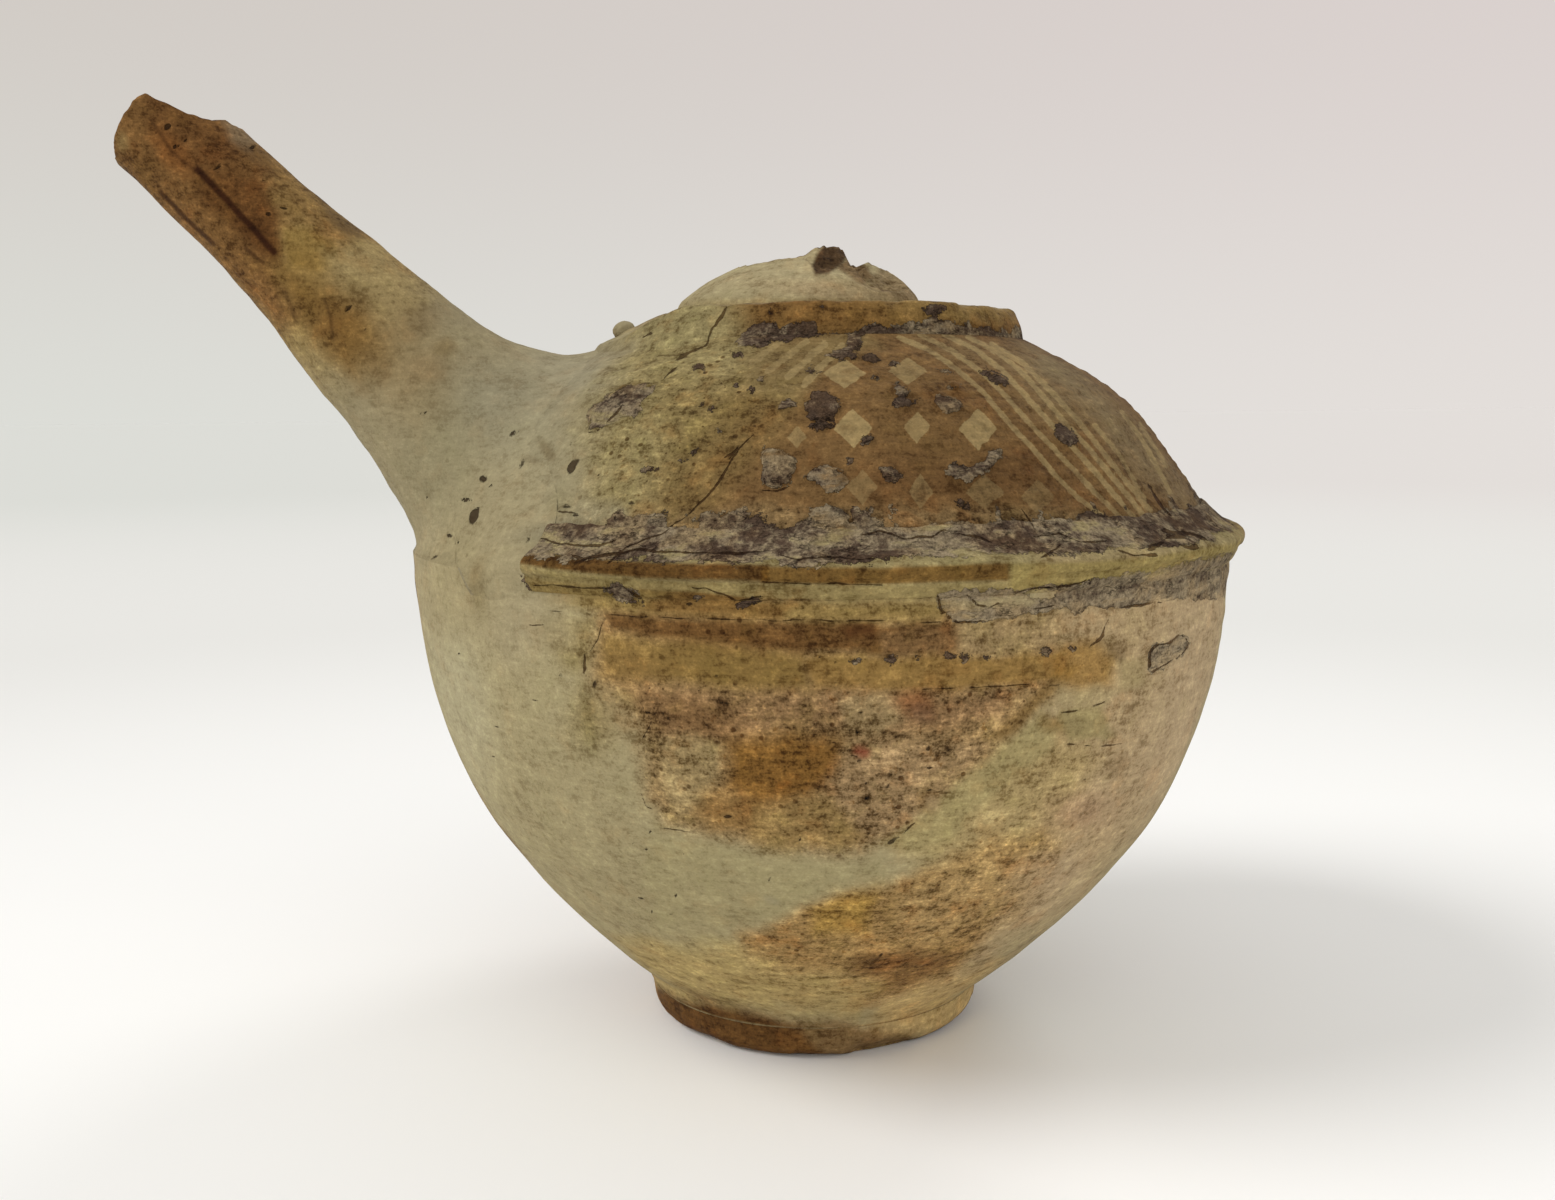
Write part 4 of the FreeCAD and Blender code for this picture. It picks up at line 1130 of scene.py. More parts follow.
def dome_shell():
    """The dome: a closed loop of outside, shelf, neck hole, inside and bevelled rim, turned about the axis.
    Its rows draw over to the neck's own axis as they near the hole."""
    angles = bearings(700)
    outside = curve_run(dome_outline, 0.55)
    ceiling = shelf_height - dome_wall
    inside = inner_run(dome_outline, dome_wall, 4.0)[:-2][::-1]
    shelf = straight_run(((43.4, shelf_height), (neck_bore_foot, shelf_height)), 5.0)[1:]
    hole = np.array(((neck_bore_foot, ceiling),))
    under = straight_run(((neck_bore_foot, ceiling), (38.0, ceiling)), 6.0)[1:]
    rim = np.array(((belly_radius - bowl_wall, joint_height - rim_bevel),))
    inside = inside[inside[:, 0] > 40.0]
    inside = inside[inside[:, 1] > joint_height - rim_bevel + 1.0]
    run = np.concatenate([outside, shelf, hole, under, inside, rim])
    grid = turned(run, angles)
    grid[..., 0] -= (neck_offset * smooth(run[:, 0], 30.0, neck_bore_foot))[:, None]
    skin = np.arange(len(run)) < len(outside)
    normals = grid_normals(grid, True)
    free = skin * smooth(run[:, 1], shelf_height + 0.1, shelf_height - 2.5)
    free = (free * smooth(run[:, 1], joint_height, joint_height + 3.0))[:, None]
    rings = 0.07 * np.sin(grid[..., 2] * 2.1 + 1.2 * lumps(grid, 26.0, 4))
    rings = rings + 0.05 * np.sin(grid[..., 2] * 4.4)
    push = 0.30 * ragged(grid, 30.0, 21) + 0.07 * ragged(grid, 4.0, 22) + rings
    x, y = picture_place(grid)
    crust, _ = crust_field(x, y, dome_crusts, dome_crust_patches)
    crust = np.where(facing(grid, normals) > 0.05, crust, no_mark)
    push = push + 0.6 * smooth(crust + 0.7 * lumps(grid, 2.0, 23), -0.1, 0.5)
    grid = grid + normals * (push * free)[..., None]
    obj = lay_mesh("dome_shell", grid, ring_rows=True)
    return obj, np.repeat(skin, len(angles))


def flange_ridge():
    """The ridge over the joint: a closed section carried round the body from one side of the spout to
    the other. Its lip wavers and is nicked, and both ends draw down into the wall."""
    angles = bearings(560, 219.6, 500.4)
    section = (
        (83.6, 98.85), (84.3, 98.75), (84.9, 99.05), (85.45, 99.8), (85.85, 100.6), (86.15, 101.3),
        (86.2, 101.85), (86.75, 102.15), (87.25, 102.8), (flange_tip - 0.1, 103.6), (87.2, 104.3),
        (86.3, 104.9), (84.4, 105.7), (82.2, 107.2), (80.2, 109.0), (79.0, 109.9),
    )
    face = curve_run(section, 0.36)
    back = straight_run(((78.2, 109.0), (79.2, 106.6), (81.0, 103.9), (82.6, 100.0)), 2.2)
    run = np.concatenate([face, back])
    grid = turned(run, angles)
    skin = np.arange(len(run)) < len(face)
    ends = np.degrees(np.minimum(angles - angles[0], angles[-1] - angles))
    hold = smooth(ends, 0.0, 1.1)
    wall = np.interp(run[:, 1], (95.0, joint_height, 110.0), (84.0, belly_radius - 0.4, 78.4))
    shape = run[:, 0] - wall
    radius = wall[:, None] + shape[:, None] * (0.10 + 0.90 * hold)
    outward = smooth(run[:, 0], 84.6, 87.0)[:, None] * skin[:, None]
    nick = smooth(lumps(grid * (1, 1, 0.3), 7.0, 81), 0.4, 0.95) * 0.5
    nick = nick + smooth(lumps(grid * (1, 1, 0.4), 2.6, 83), 0.45, 0.95) * 0.35
    radius = radius - outward * (nick + 0.12 + 0.14 * ragged(grid * (1, 1, 0.3), 12.0, 85))
    wave = 0.30 * ragged(grid * (1, 1, 0.0), 30.0, 87)
    top = smooth(run[:, 1], 104.2, 105.6)[:, None] * skin[:, None]
    crumbs = 0.35 * ragged(grid, 4.5, 89) + 0.3 * smooth(ragged(grid * (1, 1, 2), 7.0, 90), 0.0, 0.5)
    height = run[:, 1:] + wave * outward + top * crumbs
    grid = np.stack([radius * np.cos(angles), radius * np.sin(angles), height], -1)
    grid[..., :2] /= np.maximum(np.hypot(grid[..., 0], grid[..., 1])[..., None] / flange_tip, 1.0)
    obj = lay_mesh("flange_ridge", grid, ring_rows=True, ring_columns=False, crease=60.0)
    return obj, np.repeat(skin, len(angles))


def collar_ring():
    """The stepped ring on the shelf: a closed section turned about the axis, its hole on the neck's axis,
    worn down by a sloping plane beside the spout and smeared out there onto the dome."""
    angles = bearings(520)
    low, high = shelf_height + 0.05, collar_top - 0.05
    section = (
        (42.9, low), (42.75, 143.6), (42.55, 144.6), (42.1, 146.2), (41.5, 147.6), (40.9, 148.5),
        (39.9, high),
    )
    face = curve_run(section, 0.33)
    top = straight_run(((39.9, high), (25.0, collar_top)), 0.7)[1:]
    back = np.array(((24.9, 146.0), (24.9, shelf_height + 0.02), (34.0, shelf_height + 0.02)))
    run = np.concatenate([face, top, back])
    skin = np.arange(len(run)) < len(face) + len(top)
    beside = 1.0 - smooth(np.abs(np.degrees(angles) % 360.0 - 184.0), 36.0, 52.0)
    sink = np.clip(1.0 - (run[:, 1] - low) / (high - low), 0.0, 1.0)
    sink = (sink * (np.arange(len(run)) < len(face)))[:, None]
    radius = run[:, :1] + 5.0 * beside * sink**1.6
    height = run[:, 1:] - 2.6 * beside * sink**2
    grid = np.stack([radius * np.cos(angles), radius * np.sin(angles), height], -1)
    grid[..., 0] -= (neck_offset * smooth(run[:, 0], 39.0, 25.0))[:, None]
    slope = shelf_height + 1.0 + (grid[..., 0] + 43.4) * 0.467 + 0.5 * ragged(grid, 9.0, 91)
    worn_height = np.minimum(grid[..., 2], np.maximum(slope, np.minimum(grid[..., 2], low)))
    grid[..., 2] = np.where(skin[:, None], worn_height, grid[..., 2])
    normals = grid_normals(grid, True)
    free = (skin * smooth(run[:, 1], low, low + 1.5) * smooth(run[:, 0], 25.0, 28.0))[:, None]
    edge = smooth(run[:, 1], 146.5, 148.5)[:, None] * smooth(run[:, 0], 38.0, 40.0)[:, None]
    chips = smooth(lumps(grid, 5.0, 93), 0.2, 0.9) * edge * 0.8
    push = 0.22 * ragged(grid, 12.0, 95) + 0.10 * ragged(grid, 3.0, 97) - chips - 0.12
    grid = grid + normals * (push * free)[..., None]
    grid[..., 2] = np.minimum(grid[..., 2], collar_top)
    obj = lay_mesh("collar_ring", grid, ring_rows=True)
    return obj, np.repeat(skin, len(angles))


def rim_shares(rim, bearing):
    """A broken rim's height shares, read at bearings."""
    places, shares = np.array(rim, float).T
    turn = (bearing - places[0]) % 360.0 + places[0]
    return np.interp(turn, places, shares)


def neck_wall():
    """The cushion-shaped stump of the neck, hollow. Its outside follows a leaning row of circles up to
    the broken rim; the fracture climbs inwards to a ridge round the bore and drops over it, and the bore
    runs back down."""
    angles = bearings(480)
    tall = neck_top - shelf_height
    stations = np.array(neck_cushion)
    bearing = np.degrees(angles)

    def ring(share, radius):
        across = radius * np.cos(angles) - neck_offset * np.interp(share, stations[:, 0], stations[:, 1])
        return np.stack([across, radius * np.sin(angles), share * tall], -1)

    def cushion(share):
        sharp = np.interp(share, stations[:, 0], stations[:, 2])
        round_off = spline(stations[:, 0], stations[:, 2], share)[..., 0]
        return ring(share, neck_radius * between(sharp, round_off, 0.7))

    rim = rim_shares(neck_rim, bearing)
    ridge = np.maximum(rim_shares(neck_ridge, bearing), rim + 0.02)
    level = ring(rim, 20.0)
    rim = np.clip(rim + 0.018 * ragged(level, 4.0, 101) + 0.010 * lumps(level, 1.4, 103), 0.2, 0.95)
    ridge = np.clip(ridge + 0.022 * ragged(level, 3.6, 105) + 0.012 * lumps(level, 1.3, 107), 0.2, 1.0)
    outer = cushion(np.linspace(0.0, 1.0, 58)[:, None] * rim)
    edge = outer[-1:]
    crest_radius = 0.94 * np.hypot(edge[0, :, 0] + 1.0, edge[0, :, 1])
    crest_radius = np.minimum(11.6 + 0.7 * ragged(level, 5.0, 108), crest_radius)
    crest = ring(ridge, crest_radius)[None]
    climb = np.linspace(0.0, 1.0, 22)[1:, None, None]
    face = between(edge, crest, climb)
    rough = 0.8 * ragged(face, 4.5, 109) + 0.4 * lumps(face, 1.5, 110) - 0.9
    face[..., 2] += np.sin(climb[..., 0] * math.pi) * rough
    bore_share = ridge - 0.07
    mouth = ring(bore_share, neck_bore_foot - (neck_bore_foot - neck_bore_top) * bore_share)[None]
    over = between(crest, mouth, np.linspace(0.0, 1.0, 6)[1:, None, None])
    down = np.linspace(1.0, 0.0, 14)[1:, None] * bore_share
    bore = np.stack([ring(row, neck_bore_foot - (neck_bore_foot - neck_bore_top) * row) for row in down])
    bore[-1, :, 0] = neck_bore_foot * np.cos(angles) - neck_offset
    foot_row = (outer[:1] + bore[-1:]) / 2.0
    grid = np.concatenate([outer, face, over, bore, foot_row])
    grid[..., 2] += shelf_height
    normals = grid_normals(grid, True)
    free = (smooth(np.arange(len(grid)), 0, 8) * (np.arange(len(grid)) < len(outer) - 1))[:, None]
    push = 0.25 * ragged(grid, 14.0, 111) + 0.08 * ragged(grid, 3.5, 112)
    grid = grid + normals * (push * free)[..., None]
    grid[..., 2] = np.clip(grid[..., 2], shelf_height, neck_top)
    obj = lay_mesh("neck_wall", grid, ring_rows=True, crease=38.0)
    fracture = np.zeros(len(grid))
    fracture[len(outer): len(outer) + len(face) + len(over)] = 1.0
    fracture[len(outer) - 1] = 0.45
    return obj, np.repeat(fracture, len(angles))


# The spout

spout_way = np.array((-math.cos(spout_rise), 0.0, math.sin(spout_rise)))
spout_over = np.array((math.sin(spout_rise), 0.0, math.cos(spout_rise)))
spout_side = np.array((0.0, 1.0, 0.0))


def spout_axis(s):
    """The middle of the spout at a distance from its seat: a straight line that sags a little in its
    middle."""
    bend = spout_sag * np.sin(math.pi * np.clip(s / spout_length, 0.0, 1.0))
    return spout_seat + s[..., None] * spout_way - bend[..., None] * spout_over


def spout_points(s, turn, radius):
    """Points round the spout's axis: turn 0 is its upper side."""
    return spout_axis(s) + radius[..., None] * (
        np.cos(turn)[..., None] * spout_over + np.sin(turn)[..., None] * spout_side
    )


def tube_radius(s):
    """The tube's outer radius at a distance from the seat."""
    widths = np.array(spout_widths)
    return spline(widths[:, 0], widths[:, 1], s)[..., 0]


def flare_radius(s, turn):
    """The flare's reach at a distance from the seat and a turn: top, side and bottom reaches shared by
    the squares of the turn's cosine and sine, and a bulge where the apron of clay runs down beside the
    flange."""
    stations = np.array(flare_stations)
    opened = spline(stations[:, 0], stations[:, 1:], np.clip((spout_joint - s) / flare_depth, 0.0, 1.0))
    base = tube_radius(np.full(1, spout_joint))[0]
    top, side, bottom = (
        base + (reach - base) * opened[..., n]
        for n, reach in enumerate((flare_top, flare_side, flare_bottom))
    )
    upper, lower = np.maximum(0.0, np.cos(turn)) ** 2, np.maximum(0.0, -np.cos(turn)) ** 2
    away = np.abs(np.degrees(np.arctan2(np.sin(turn), np.cos(turn))))
    apron = apron_reach * opened[..., 3] * bell(away, apron_angle, apron_spread)
    return top * upper + bottom * lower + side * (1.0 - upper - lower) + apron


def body_outline():
    """The outside of the body from low on the bowl to the worn collar, as one run of (radius, height)."""
    bowl = curve_run(bowl_outline, 3.0)
    dome = curve_run(dome_outline, 3.0)
    collar = np.array(((42.4, 144.2), (37.0, 146.9), (31.0, 149.2), (24.0, 150.2)))
    return np.concatenate([bowl[:-1], dome, collar])


body_run = body_outline()


def above_body(points):
    """How far points lie outside the body and the direction straight out from it, by the nearest place
    of its outline."""
    radius, height = np.hypot(points[..., 0], points[..., 1]), points[..., 2]
    best = np.full(radius.shape, 1e9)
    nearest = np.zeros(radius.shape + (2,))
    sign = np.ones(radius.shape)
    for a, b in zip(body_run, body_run[1:]):
        d = b - a
        share = np.clip(((radius - a[0]) * d[0] + (height - a[1]) * d[1]) / (d @ d), 0.0, 1.0)
        px, pz = a[0] + d[0] * share, a[1] + d[1] * share
        away = np.hypot(radius - px, height - pz)
        closer = away < best
        best = np.where(closer, away, best)
        nearest[closer] = np.stack([px, pz], -1)[closer]
        outside = (radius - a[0]) * d[1] - (height - a[1]) * d[0]
        sign = np.where(closer, np.sign(outside), sign)
    out = np.stack([radius, height], -1) - nearest
    out = out * sign[..., None] / np.maximum(best, 1e-6)[..., None]
    turn = np.arctan2(points[..., 1], points[..., 0])
    direction = np.stack([out[..., 0] * np.cos(turn), out[..., 0] * np.sin(turn), out[..., 1]], -1)
    return best * sign, direction


def eased(points, s):
    """The flare drawn smoothly onto the body: a point's height above the body is rounded off to nothing
    as the root of its square plus a square, less the root's own start."""
    soft, fade = 3.2, 22.0
    height, direction = above_body(points)
    height = np.maximum(height, 0.0)
    rounded = np.sqrt(height**2 + soft**2) - soft * (1.0 - smooth(height, 0.0, fade))
    shift = (rounded - height) * smooth(s, spout_joint, spout_joint - 7.0)
    return points + direction * shift[..., None]


def flare_columns(turns):
    """For each turn: where its line down the flare meets the body, and where it passes the seam."""
    s = np.linspace(spout_joint, spout_joint - flare_depth, 240)[:, None] + 0.0 * turns
    turn = turns + 0.0 * s
    reach = flare_radius(s, turn)
    height, _ = above_body(spout_points(s, turn, reach))
    under = height < 0.0
    under[-1] = True
    row = np.maximum(np.argmax(under, axis=0), 1)
    columns = np.arange(len(turns))
    before, after = height[row - 1, columns], height[row, columns]
    share = np.clip(before / np.maximum(before - after, 1e-6), 0.0, 1.0)
    meet = between(s[row - 1, columns], s[row, columns], share)
    wide = reach > seam_radius
    wide[-1] = True
    seam = s[np.argmax(wide, axis=0), columns]
    return meet, np.maximum(seam, meet + 1.0)


def flare_skin(low, high, rows, turns):
    """The outside of the flare between two distances from the seat, eased onto the body."""
    s = between(low, high, np.linspace(0.0, 1.0, rows)[:, None])
    turn = turns + 0.0 * s
    return eased(spout_points(s, turn, flare_radius(s, turn)), s)


def hand_worked(points, normals, s_fade):
    """Finger-smoothed unevenness on the luted root and spout."""
    push = 0.34 * ragged(points, 15.0, 121)
    push = push + 0.12 * ragged(points, 4.5, 123) + 0.04 * ragged(points, 1.8, 125)
    return points + normals * (push * s_fade)[..., None]


def spout_pieces():
    """Root, luting and tube share one outer skin, so that no step shows between them. The skin runs from
    the line where the flare meets the body, past the seam and the joint, up to the broken tip."""
    turns = np.linspace(0.0, 2.0 * math.pi, 361)[:-1]
    meet, seam = flare_columns(turns)
    smear_rows, root_rows = 46, 44
    smear = flare_skin(meet, seam, smear_rows, turns)
    root = flare_skin(seam, np.full(len(turns), spout_joint), root_rows, turns)
    tip, tip_inner, tube = tube_skin(turns)
    whole = np.concatenate([smear, root[1:], tube[1:]])
    normals = grid_normals(whole, False)
    rise = np.concatenate([smooth(np.arange(smear_rows), 0, 12), np.ones(len(whole) - smear_rows)])[:, None]
    whole = hand_worked(whole, normals, rise)
    x, y = picture_place(whole)
    pits = pit_field(x, y, root_pits + spout_pits)
    pits = np.where(facing(whole, normals) > 0.05, pits, no_mark)
    whole = whole - normals * (0.8 * smooth(pits, -0.2, 0.9) * rise)[..., None]
    normals = grid_normals(whole, False)
    first, second = smear_rows - 1, smear_rows + root_rows - 2
    smear_piece(whole[: first + 1], normals[: first + 1])
    root_piece(whole[first: second + 1], normals[first: second + 1], turns)
    tube_piece(whole[second:], normals[second:], turns, tip, tip_inner)


def keep_directions(obj, normals):
    """Sets the shading directions of a skin's rows to those of the whole skin; the rest stay as they
    are."""
    given = np.zeros((len(obj.data.vertices), 3))
    given[: normals.shape[0] * normals.shape[1]] = normals.reshape(-1, 3)
    obj.data.normals_split_custom_set_from_vertices(given.tolist())


def sunk(points, depth):
    """Points moved straight onto the body and below its surface by a depth."""
    height, direction = above_body(points)
    return points - direction * (height + depth)[..., None]


def smear_piece(skin, normals):
    """The clay smeared round the root: its skin, and an underside just below the body's surface."""
    skin = skin.copy()
    skin[0] = sunk(skin[0], 0.15)
    under = sunk(skin[[-1, -12, 12]], 0.6)
    obj = lay_mesh("luting_smear", np.concatenate([skin, under]), ring_rows=True)
    keep_directions(obj, normals)
    finish_spout(obj, "luting_fillet", len(skin) * skin.shape[1], root_pits, "luting")


def root_piece(skin, normals, turns):
    """The root of the spout: its skin, the joint face, the channel back into the body, and the
    underside."""
    bore = tube_radius(np.full(1, spout_joint))[0] - spout_wall
    s_face = np.full((1, len(turns)), spout_joint)
    face = spout_points(s_face, turns[None], np.full(s_face.shape, bore))
    levels = np.linspace(spout_joint, -16.0, 60)[:, None] + 0.0 * turns
    wall = spout_points(levels, turns + 0.0 * levels, bore + 0.09 * (spout_joint - levels))
    height, _ = above_body(wall)
    inside = height < -0.5
    inside[-1] = True
    stop = levels[np.argmax(inside, axis=0), 0]
    rows = between(spout_joint, stop, np.linspace(0.0, 1.0, 20)[1:, None])
    channel = spout_points(rows, turns + 0.0 * rows, bore + 0.09 * (spout_joint - rows))
    under = sunk(skin[:1], 0.6)
    middle = sunk((under + channel[-1:]) / 2.0, 0.6)
    obj = lay_mesh("root_of_spout", np.concatenate([skin, face, channel, middle, under]), ring_rows=True)
    keep_directions(obj, normals)
    finish_spout(obj, "spout_root", len(skin) * skin.shape[1], root_pits, "luting")


# The broken tip, seen from the side: height above the axis, and how far from the seat the wall ends there
tip_break = (
    (-10.9, 84.0), (-7.7, 86.2), (-3.4, 87.3), (-0.8, 87.8), (1.1, 87.7), (2.4, 87.3), (2.8, 85.6),
    (3.9, 83.2), (4.9, 80.6), (6.3, 78.3), (8.4, 76.5), (9.5, 76.0), (9.9, 74.8), (10.9, 73.6),
)
far_wall_drop = 1.6


def tube_end(turns, thickness):
    """Where each line along the tube is broken off, by its height above the axis; the wall away from the
    picture is broken a little lower, and the edge is rough."""
    radius = tube_radius(np.full(1, spout_length))[0] - thickness
    points = spout_points(np.full(len(turns), spout_length), turns, np.full(len(turns), radius))
    high = radius * np.cos(turns) + far_wall_drop * smooth(np.sin(turns), -0.2, 0.5)
    high = high + 0.30 * ragged(points, 3.0, 131)
    heights, ends = np.array(tip_break).T
    return np.interp(high, heights, ends) - 0.30 * np.abs(lumps(points, 1.4, 133))


def tube_skin(turns):
    """The outside of the tube from its joint to the break."""
    tip, tip_inner = tube_end(turns, 0.0), tube_end(turns, spout_wall)
    s = between(spout_joint, tip, np.linspace(0.0, 1.0, 112)[:, None])
    return tip, tip_inner, spout_points(s, turns + 0.0 * s, tube_radius(s))


def tube_piece(skin, normals, turns, tip, tip_inner):
    """The tube: its skin, the broken rim, and the channel back to the joint."""
    tip_inner = np.minimum(tip_inner, tip + 3.0)
    inner_edge = spout_points(tip_inner[None], turns[None], tube_radius(tip_inner[None]) - spout_wall)
    steps = np.linspace(0.0, 1.0, 9)[1:-1, None, None]
    rim = between(skin[-1:], inner_edge, steps)
    bulge = np.sin(steps * math.pi)[..., 0] * (0.3 + 0.35 * lumps(rim, 1.6, 135))
    rim = rim + spout_way * bulge[..., None] * 0.6
    s = between(tip_inner, np.full(len(turns), spout_joint), np.linspace(0.0, 1.0, 54)[:, None])
    turn = turns + 0.0 * s
    uneven = 0.15 * lumps(spout_points(s, turn, 0.0 * s + 7.0), 4.0, 137)
    channel = spout_points(s, turn, tube_radius(s) - spout_wall + uneven)
    obj = lay_mesh("tube_of_spout", np.concatenate([skin, rim, channel]), ring_rows=True)
    shading = normals.copy()
    shading[-3:] = 0.0
    keep_directions(obj, shading)

    def tip_face(points, seen, marks):
        marks["broken"][len(skin) * len(turns): (len(skin) + len(rim)) * len(turns)] = 1.0

    finish_spout(obj, "spout_tube", len(skin) * skin.shape[1], spout_pits, "stained", tip_face)


def finish_spout(obj, node, skin_count, pits, look, extra=None):
    """Colours and marks of one piece of the spout."""
    skin = np.arange(len(obj.data.vertices)) < skin_count
    add_piece(obj, node, look, spout_clay, pits=pits, extra=extra, skin=skin)


def root_pellet():
    """The small knob beside the crest of the root: a ball squashed and dented by the noise."""
    middle = (pellet_low + pellet_high) / 2.0
    half = (pellet_high - pellet_low) / 2.0
    turn = np.linspace(0.0, 2.0 * math.pi, 65)[:-1]
    lift = np.linspace(-0.5 * math.pi, 0.5 * math.pi, 42)[1:-1, None]
    flat = np.cos(lift)
    ball = np.stack([flat * np.cos(turn), flat * np.sin(turn), np.sin(lift) + 0.0 * turn], -1)
    dent = 0.93 - 0.07 * np.abs(ragged(ball * 10.0, 9.0, 151))
    grid = middle + ball * half * dent[..., None] * (1.0, 1.0, 0.98)
    poles = (middle - (0, 0, half[2] * 0.93), middle + (0, 0, half[2] * 0.9))
    return lay_mesh("root_pellet_lump", grid, poles=poles)


# Bands of crust

def bearing_of(points):
    """Bearing about the upright axis, in degrees from 0 to 360."""
    return np.degrees(np.arctan2(points[:, 1], points[:, 0])) % 360.0


def crust_paleness(points):
    """How much paler or darker the flange's grey crust is than its mean."""
    return 0.35 * lumps(points, 7.0, 165) - 0.4 * smooth(ragged(points, 5.0, 166), 0.1, 0.7)


def dome_bands(points, seen):
    """Dark crust under the collar, ragged elsewhere than at the front, and the grey crust that creeps up
    from the flange."""
    side = np.abs(bearing_of(points) - 180.0)
    r, fine = ragged(points, 8.0, 161), ragged(points, 2.6, 163)
    front = smooth(side, 56.0, 62.0)
    under_collar = between(no_mark, -0.3 - np.abs(points[:, 2] - 142.8) * 1.1 + 0.6 * fine + 0.5 * r, front)
    creep = (111.0 - points[:, 2]) * 0.55 + 1.7 * r + 1.3 * fine
    creep = between(no_mark, creep, smooth(side, 40.0, 50.0))
    pale = np.where(under_collar > creep, 0.35, 0.62 + crust_paleness(points))
    return np.maximum(under_collar, creep), pale


def flange_bands(points, seen):
    """Grey crust on the upper face of the flange, flaking."""
    depth = (points[:, 2] - 105.1) * 0.9 + 0.5 * ragged(points, 8.0, 161) + 0.5 * ragged(points, 2.6, 163)
    return depth, 0.64 + crust_paleness(points)


def bowl_bands(points, seen):
    """Scattered crust below the flange on the sides away from the picture."""
    band = 0.4 - np.abs(points[:, 2] - 95.5) * 0.45
    band = band + 2.2 * ragged(points, 16.0, 167) + 0.7 * ragged(points, 3.0, 169)
    return np.where(seen > mark_view, no_mark, band), np.full(len(points), 0.7)


def collar_bands(points, seen):
    """Dark crust on the lower part of the collar, broken and thin but for the side away from the spout."""
    side = np.abs(bearing_of(points) - 180.0)
    reach = 143.4 + 1.0 * smooth(side, 84.0, 110.0)
    depth = (reach - points[:, 2]) * 0.8 + 0.9 * ragged(points, 6.0, 171) + 0.6 * ragged(points, 2.0, 172)
    pale = 0.52 + 0.3 * lumps(points, 9.0, 173)
    return between(no_mark, depth, smooth(side, 58.0, 62.0)), pale


def cream_gap(points, seen, marks):
    """Cream clay shows through a break in the long crust under the flange."""
    x, y = picture_place(points)
    room = np.where(seen > mark_view, -patch_depth(x, y, crust_gap) * pixel_size, 9.0)
    marks["crust"] = np.minimum(marks["crust"], room)


def neck_break(points, seen, marks):
    """The broken face is rough; away from the picture it takes the broken clay's dark colour too, which is
    painted shade.
    """
    marks["broken"] = neck_fracture * between(1.0, 0.28, seen)


# Clay colours of the pieces, at points

def bowl_clay(points, normals, x, y, seen):
    """Cream with its stained fields, painted shade under the flange, painted contact shadow about the foot
    and painted light down its edges, and the spout's clay beside the spout.
    """
    dx, dy = wandered(points, 9.0, 5, 6.0)
    near = patched(x + dx, y + dy, cream, bowl_patches)
    near = patched(x + dx, y + dy, near, foot_patches)
    near = stained(x + dx, y + dy, patched(x + 0.25 * dx, y + 0.2 * dy, near, lip_patches), bowl_stains_and_edge_light)
    colour = between(weathered(points, 183, cream, warm_brown, dark_brown), near, seen)
    return between(colour, spout_colour(points, normals), beside_spout(points)[:, None])


def flange_clay(points, normals, x, y, seen):
    """Pale slip under brown bands, as the bowl just under it."""
    z = points[:, 2:] + 0.3 * ragged(points, 9.0, 175)[:, None]
    far = weathered(points, 187, slip_light, warm_brown, cream)
    far = between(far, warm_brown, 0.7 * smooth(z, 102.0, 102.6))
    dx, dy = wandered(points, 9.0, 5, 6.0)
    near = patched(x + dx, y + dy, slip_light, bowl_patches)
    near = patched(x + 0.25 * dx, y + 0.2 * dy, near, lip_patches)
    return between(far, near, seen)


def dome_clay(points, normals, x, y, seen):
    """Brown slip with its paler fields, and the spout's clay beside the spout."""
    dx, dy = wandered(points, 9.0, 5, 7.0)
    near = patched(x + dx, y + dy, slip_brown, dome_patches)
    colour = between(weathered(points, 185, slip_brown, slip_light, dark_brown), near, seen)
    return between(colour, spout_colour(points, normals), beside_spout(points)[:, None])


def collar_clay(points, normals, x, y, seen):
    """Stained brown, but under the smear beside the spout it has the dome's colour."""
    dx, dy = wandered(points, 7.0, 5, 4.0)
    near = stained(x + dx, y + dy, collar_brown, collar_stains)
    near = between(smear_clay, near, smooth(x + 0.5 * dx, 706.0, 728.0)[:, None])
    beside = 1.0 - clear_of_spout(np.arctan2(points[:, 1], points[:, 0]))[:, None]
    far = between(weathered(points, 189, collar_brown, slip_light, dark_brown), smear_clay, beside)
    colour = between(far, near, seen)
    inside = smooth(np.hypot(points[:, 0], points[:, 1]), 41.0, 38.5)[:, None]
    colour = between(colour, between(neck_buff, collar_brown, 0.45), 0.8 * inside)
    return between(colour, spout_colour(points, normals), 0.85 * beside_spout(points)[:, None])


def neck_clay(points, normals, x, y, seen):
    """Buff with stains, and darker about the break, where the darkest patch is painted shadow in a facet.
    """
    near = stained(x, y, neck_buff, neck_stains)
    near = patched(x, y, near, neck_patches)
    return between(weathered(points, 191, neck_buff, cream, tan), near, seen)


def foot_clay(points, normals, x, y, seen):
    """Cream with the fields that reach down from the bowl, painted contact shadow low on its left, and
    brown away from the picture.
    """
    dx, dy = wandered(points, 9.0, 5, 6.0)
    shared = bowl_patches[:1] + bowl_patches[2:3]
    near = patched(x + dx, y + dy, cream, shared + foot_patches)
    return between(weathered(points, 181, warm_brown, tan, dark_brown), near, seen)


def spout_clay(points, normals, x, y, seen):
    """The spout's clay, worked out from the points alone."""
    return spout_colour(points, normals)


# Materials

